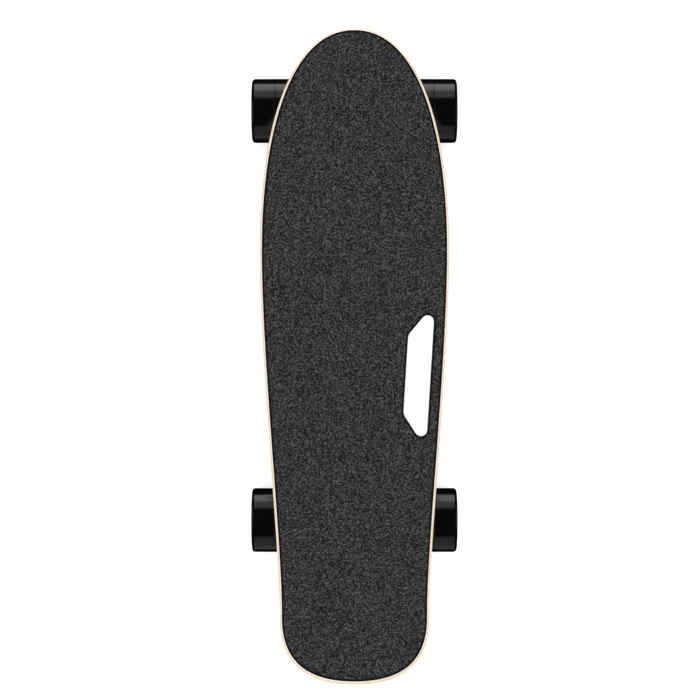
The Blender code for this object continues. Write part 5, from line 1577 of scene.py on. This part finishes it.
def make_charge_socket():
    """The charge socket: a plate with an ear for its cap's hinge, a sunk barrel and a pin."""
    place = charge_place()
    face = CONTROL_FACE
    big, small, bore = 0.008, 0.0028, 0.0034
    lean = math.asin((big - small) / CAP_HINGE)
    steps = 24
    small_turns = [lean + (math.pi - 2 * lean) * i / steps for i in range(steps + 1)]
    big_turns = [math.pi - lean + (math.pi + 2 * lean) * i / (2 * steps) for i in range(2 * steps + 1)]
    outline = [Vector((small * math.cos(a), CAP_HINGE + small * math.sin(a))) for a in small_turns]
    outline += [Vector((big * math.cos(a), big * math.sin(a))) for a in big_turns]
    outline.reverse()
    rim = rounded_rim(0.0003, face, 0.0004)
    hole = [(0, 0.0003), (0, face - 0.0003), (0.0003, face)]
    barrel = [(0, face - 0.005), (bore, face - 0.005), (bore, face - 0.0005), (0.0058, face - 0.0005)]
    barrel += [(0.0058, -0.0065), (0, -0.0065)]
    bm = merged(plate([(outline, rim), (circle(bore, 32), hole)]), lathe(barrel, None, SMALL), place=place)
    piece("charge_socket", bm, "moulded_nylon", "deck", ["charge_port"])
    pin = [(0, face - 0.0005), (0.0007, face - 0.0006), (0.0010, face - 0.0010), (0.0010, face - 0.0052)]
    pin += [(0, face - 0.0052)]
    piece("charge_pin", lathe(pin, place, SMALL), "plated_steel", "deck")


def make_charge_cap():
    """The rubber cap over the charge socket, with its strap, pull tab and hinge."""
    low = CONTROL_FACE + 0.0003
    lid = [(0, low + 0.0016), (0.0050, low + 0.0016), (0.0056, low + 0.0020), (0.0071, low + 0.0020)]
    lid += [(0.0080, low + 0.0010), (0.0080, low), (0, low)]
    strap = box((-0.0036, 0.004, low + 0.0002), (0.0036, CAP_HINGE, low + 0.0016), 0.0004)
    tab = box((-0.0026, -0.0094, low + 0.0003), (0.0026, -0.0060, low + 0.0014), 0.0003, corner=0.0012)
    hinge = Matrix.Translation((0, CAP_HINGE, low + 0.0014)) @ Matrix.Rotation(QUARTER, 4, "Y")
    knuckle = [(0, 0.004), (0.0014, 0.004), (0.0014, -0.004), (0, -0.004)]
    knuckle = turned(knuckle, 0.0003, hinge, SMALL, steps=2)
    bm = merged(turned(lid, 0.0004), strap, tab, knuckle, place=charge_place())
    piece("charge_cap", bm, "seal", "charge_port_cap", ["charge_port_cap"])


def make_gauge():
    """The battery gauge: a smoked cover with four lit bars."""
    place = control_place("battery_gauge")
    cover_rim = rounded_rim(0.0003, CONTROL_FACE, 0.0005, 4)
    cover = plate([(rectangle(0.0035, 0.013, 0.0034, steps=10), cover_rim)])
    stem = plate([(rectangle(0.0021, 0.0115, 0.0020, steps=10), [(0, -0.0024), (0, 0.0006)])])
    piece("gauge_cover", merged(cover, stem, place=place), "gauge_lens", "deck", ["battery_gauge"])
    rim = rounded_rim(0.0016, 0.00188, 0.0001, 2)
    centres = [(0, -0.0081 + 0.0054 * i) for i in range(4)]
    bars = [plate([(rectangle(0.0012, 0.0019, 0.0005, centre, 4), rim)]) for centre in centres]
    piece("gauge_bars", merged(*bars, place=place), "gauge_lamp", "deck")


def make_controls():
    """Everything that the rider reaches on the side of the tray."""
    make_power_button()
    make_charge_socket()
    make_charge_cap()
    make_gauge()


# ---------------------------------------------------------------- studio


def area_light(name, power, place, target, width, height, in_reflections):
    """A flat soft light that the camera doesn't see, turned to its target."""
    data = bpy.data.lights.new(name, "AREA")
    data.shape = "RECTANGLE"
    data.size = width
    data.size_y = height
    data.energy = power
    made = bpy.data.objects.new(name, data)
    made.location = place
    made.rotation_euler = (Vector(target) - Vector(place)).to_track_quat("-Z", "Y").to_euler()
    made.visible_camera = False
    made.visible_glossy = in_reflections
    bpy.context.scene.collection.objects.link(made)


def make_floor(sizes, colours):
    """A pale floor that lights itself a little, so that the shadows on it stay soft."""
    bm = bmesh.new()
    bmesh.ops.create_circle(bm, cap_ends=True, segments=FINE, radius=sizes.floor_radius)
    mesh = bpy.data.meshes.new("floor")
    bm.to_mesh(mesh)
    bm.free()
    glow = {"emission_strength": sizes.floor_glow}
    paint = Finish("studio_floor", roughness=1.0, specular_ior_level=0.0, **glow)
    paint.shader.inputs["Base Color"].default_value = (*colours.floor, 1.0)
    paint.shader.inputs["Emission Color"].default_value = (*colours.floor, 1.0)
    mesh.materials.append(paint.material)
    floor = bpy.data.objects.new("floor", mesh)
    floor.visible_glossy = False
    floor.visible_diffuse = False
    floor.visible_shadow = False
    bpy.context.scene.collection.objects.link(floor)


def make_sky(sizes, colours):
    """Even light from all round, which isn't seen in reflections."""
    world = bpy.data.worlds.new("studio")
    world.use_nodes = True
    background = world.node_tree.nodes["Background"]
    background.inputs["Color"].default_value = (*colours.floor, 1.0)
    background.inputs["Strength"].default_value = sizes.sky
    world.cycles_visibility.glossy = False
    bpy.context.scene.world = world
    bpy.context.scene.view_settings.view_transform = "Standard"


def make_lights(sizes):
    """A wide light over the board, and cards round it that its tyres and edges reflect."""
    area_light("overhead", sizes.overhead_power, (0, 0, 2.2), (0, 0, 0), 2.6, 3.2, False)
    area_light("nose_card", sizes.nose_power, (0, 5.5, 0.03), (0, 0, 0.03), 3.0, 3.15, True)
    area_light("upper_nose_card", sizes.upper_nose_power, (0, 4.76, 2.78), (0, 0, 0.03), 3.0, 2.74, True)
    area_light("tail_card", sizes.tail_power, (0, -5.5, -0.3), (0, 0, 0.03), 3.0, 7.1, True)
    for side in (-1, 1):
        place = (side * 3.2, 0, 0.5)
        area_light(f"side_card_{side}", sizes.side_power, place, (0, 0, 0.05), 2.6, 3.0, True)


def make_camera(sizes):
    """A camera straight over the board, with the nose at the top of its view."""
    camera = bpy.data.cameras.new("camera")
    deck_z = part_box("grip_tape")[0].z
    camera.sensor_width = sizes.sensor * 1000
    camera.lens = camera.sensor_width * (sizes.camera_height - deck_z) / sizes.framed_width
    camera.clip_start = 0.05
    camera.clip_end = 60
    made = bpy.data.objects.new("camera", camera)
    made.location = (sizes.camera_x, sizes.camera_y, sizes.camera_height)
    bpy.context.scene.collection.objects.link(made)
    bpy.context.scene.camera = made


def make_studio():
    """The floor, the sky, the lights and the camera."""
    sizes = bpy.context.scene.board_studio
    colours = bpy.context.scene.board_colours
    make_floor(sizes, colours)
    make_sky(sizes, colours)
    make_lights(sizes)
    make_camera(sizes)


# ---------------------------------------------------------------- operators and panel


class BOARD_OT_finishes(bpy.types.Operator):
    """Make every finish of the board"""

    bl_idname = "board.finishes"
    bl_label = "Finishes"

    def execute(self, context):
        make_finishes(context.scene.board_colours)
        return {"FINISHED"}


class BOARD_OT_deck(bpy.types.Operator):
    """Press the maple deck, with its kick tail and hand hole"""

    bl_idname = "board.deck"
    bl_label = "Deck"

    def execute(self, context):
        make_deck()
        return {"FINISHED"}


class BOARD_OT_grip_tape(bpy.types.Operator):
    """Lay the grip tape on the deck"""

    bl_idname = "board.grip_tape"
    bl_label = "Grip tape"

    def execute(self, context):
        make_grip_tape()
        return {"FINISHED"}


class BOARD_OT_castings(bpy.types.Operator):
    """Cast the hangers and baseplates of both trucks"""

    bl_idname = "board.castings"
    bl_label = "Truck castings"

    def execute(self, context):
        make_castings()
        return {"FINISHED"}


class BOARD_OT_riser_pads(bpy.types.Operator):
    """Cut the shock pads under the baseplates"""

    bl_idname = "board.riser_pads"
    bl_label = "Riser pads"

    def execute(self, context):
        make_riser_pads()
        return {"FINISHED"}


class BOARD_OT_kingpins(bpy.types.Operator):
    """Turn the kingpins, their nuts and washers, and the pivot cups"""

    bl_idname = "board.kingpins"
    bl_label = "Kingpins"

    def execute(self, context):
        make_kingpins()
        return {"FINISHED"}


class BOARD_OT_bushings(bpy.types.Operator):
    """Cast the bushings that each truck steers against"""

    bl_idname = "board.bushings"
    bl_label = "Bushings"

    def execute(self, context):
        make_bushings()
        return {"FINISHED"}


class BOARD_OT_truck_bolts(bpy.types.Operator):
    """Bolt both trucks to the deck"""

    bl_idname = "board.truck_bolts"
    bl_label = "Truck bolts"

    def execute(self, context):
        make_truck_bolts()
        return {"FINISHED"}


class BOARD_OT_axles(bpy.types.Operator):
    """Turn the axles and the washers beside the bearings"""

    bl_idname = "board.axles"
    bl_label = "Axles"

    def execute(self, context):
        make_axles()
        return {"FINISHED"}


class BOARD_OT_plain_wheels(bpy.types.Operator):
    """Make the three free-rolling wheels with their bearings and nuts"""

    bl_idname = "board.plain_wheels"
    bl_label = "Plain wheels"

    def execute(self, context):
        for name in PLAIN_WHEELS:
            make_plain_wheel(name)
        return {"FINISHED"}


class BOARD_OT_motor_wheel(bpy.types.Operator):
    """Make the drive wheel with the hub motor inside it"""

    bl_idname = "board.motor_wheel"
    bl_label = "Motor wheel"

    def execute(self, context):
        make_motor_wheel()
        return {"FINISHED"}


class BOARD_OT_motor_cable(bpy.types.Operator):
    """Run the cable from the motor to the power pack"""

    bl_idname = "board.motor_cable"
    bl_label = "Motor cable"

    def execute(self, context):
        make_motor_cable()
        return {"FINISHED"}


class BOARD_OT_power_pack(bpy.types.Operator):
    """Mould the tray with its gasket and screws, and fit the battery and the controller"""

    bl_idname = "board.power_pack"
    bl_label = "Power pack"

    def execute(self, context):
        make_tray()
        make_tray_screws()
        make_gasket()
        make_battery()
        make_controller()
        return {"FINISHED"}


class BOARD_OT_controls(bpy.types.Operator):
    """Fit the power button, the charge socket with its cap, and the battery gauge"""

    bl_idname = "board.controls"
    bl_label = "Controls"

    def execute(self, context):
        make_controls()
        return {"FINISHED"}


class BOARD_OT_studio(bpy.types.Operator):
    """Set up the floor, the lights and the camera"""

    bl_idname = "board.studio"
    bl_label = "Studio"

    def execute(self, context):
        make_studio()
        return {"FINISHED"}


STEPS = (
    BOARD_OT_finishes,
    BOARD_OT_deck,
    BOARD_OT_grip_tape,
    BOARD_OT_castings,
    BOARD_OT_riser_pads,
    BOARD_OT_kingpins,
    BOARD_OT_bushings,
    BOARD_OT_truck_bolts,
    BOARD_OT_axles,
    BOARD_OT_plain_wheels,
    BOARD_OT_motor_wheel,
    BOARD_OT_motor_cable,
    BOARD_OT_power_pack,
    BOARD_OT_controls,
    BOARD_OT_studio,
)


class BOARD_PT_looks(bpy.types.Panel):
    """Lists the steps that make the board"""

    bl_label = "Electric Skateboard"
    bl_idname = "BOARD_PT_looks"
    bl_space_type = "VIEW_3D"
    bl_region_type = "UI"
    bl_category = "Skateboard"

    def draw(self, context):
        for step in STEPS:
            self.layout.operator(step.bl_idname)


def register():
    for group in SIZE_GROUPS.values():
        bpy.utils.register_class(group)
    for step in (*STEPS, BOARD_PT_looks):
        bpy.utils.register_class(step)
    for name, group in SIZE_GROUPS.items():
        setattr(bpy.types.Scene, name, PointerProperty(type=group))


def unregister():
    for name in SIZE_GROUPS:
        delattr(bpy.types.Scene, name)
    for step in (BOARD_PT_looks, *reversed(STEPS)):
        bpy.utils.unregister_class(step)
    for group in reversed(SIZE_GROUPS.values()):
        bpy.utils.unregister_class(group)


def main():
    """Makes the whole board."""
    register()
    for step in STEPS:
        group, call = step.bl_idname.split(".")
        getattr(getattr(bpy.ops, group), call)()


if __name__ == "__main__":
    main()
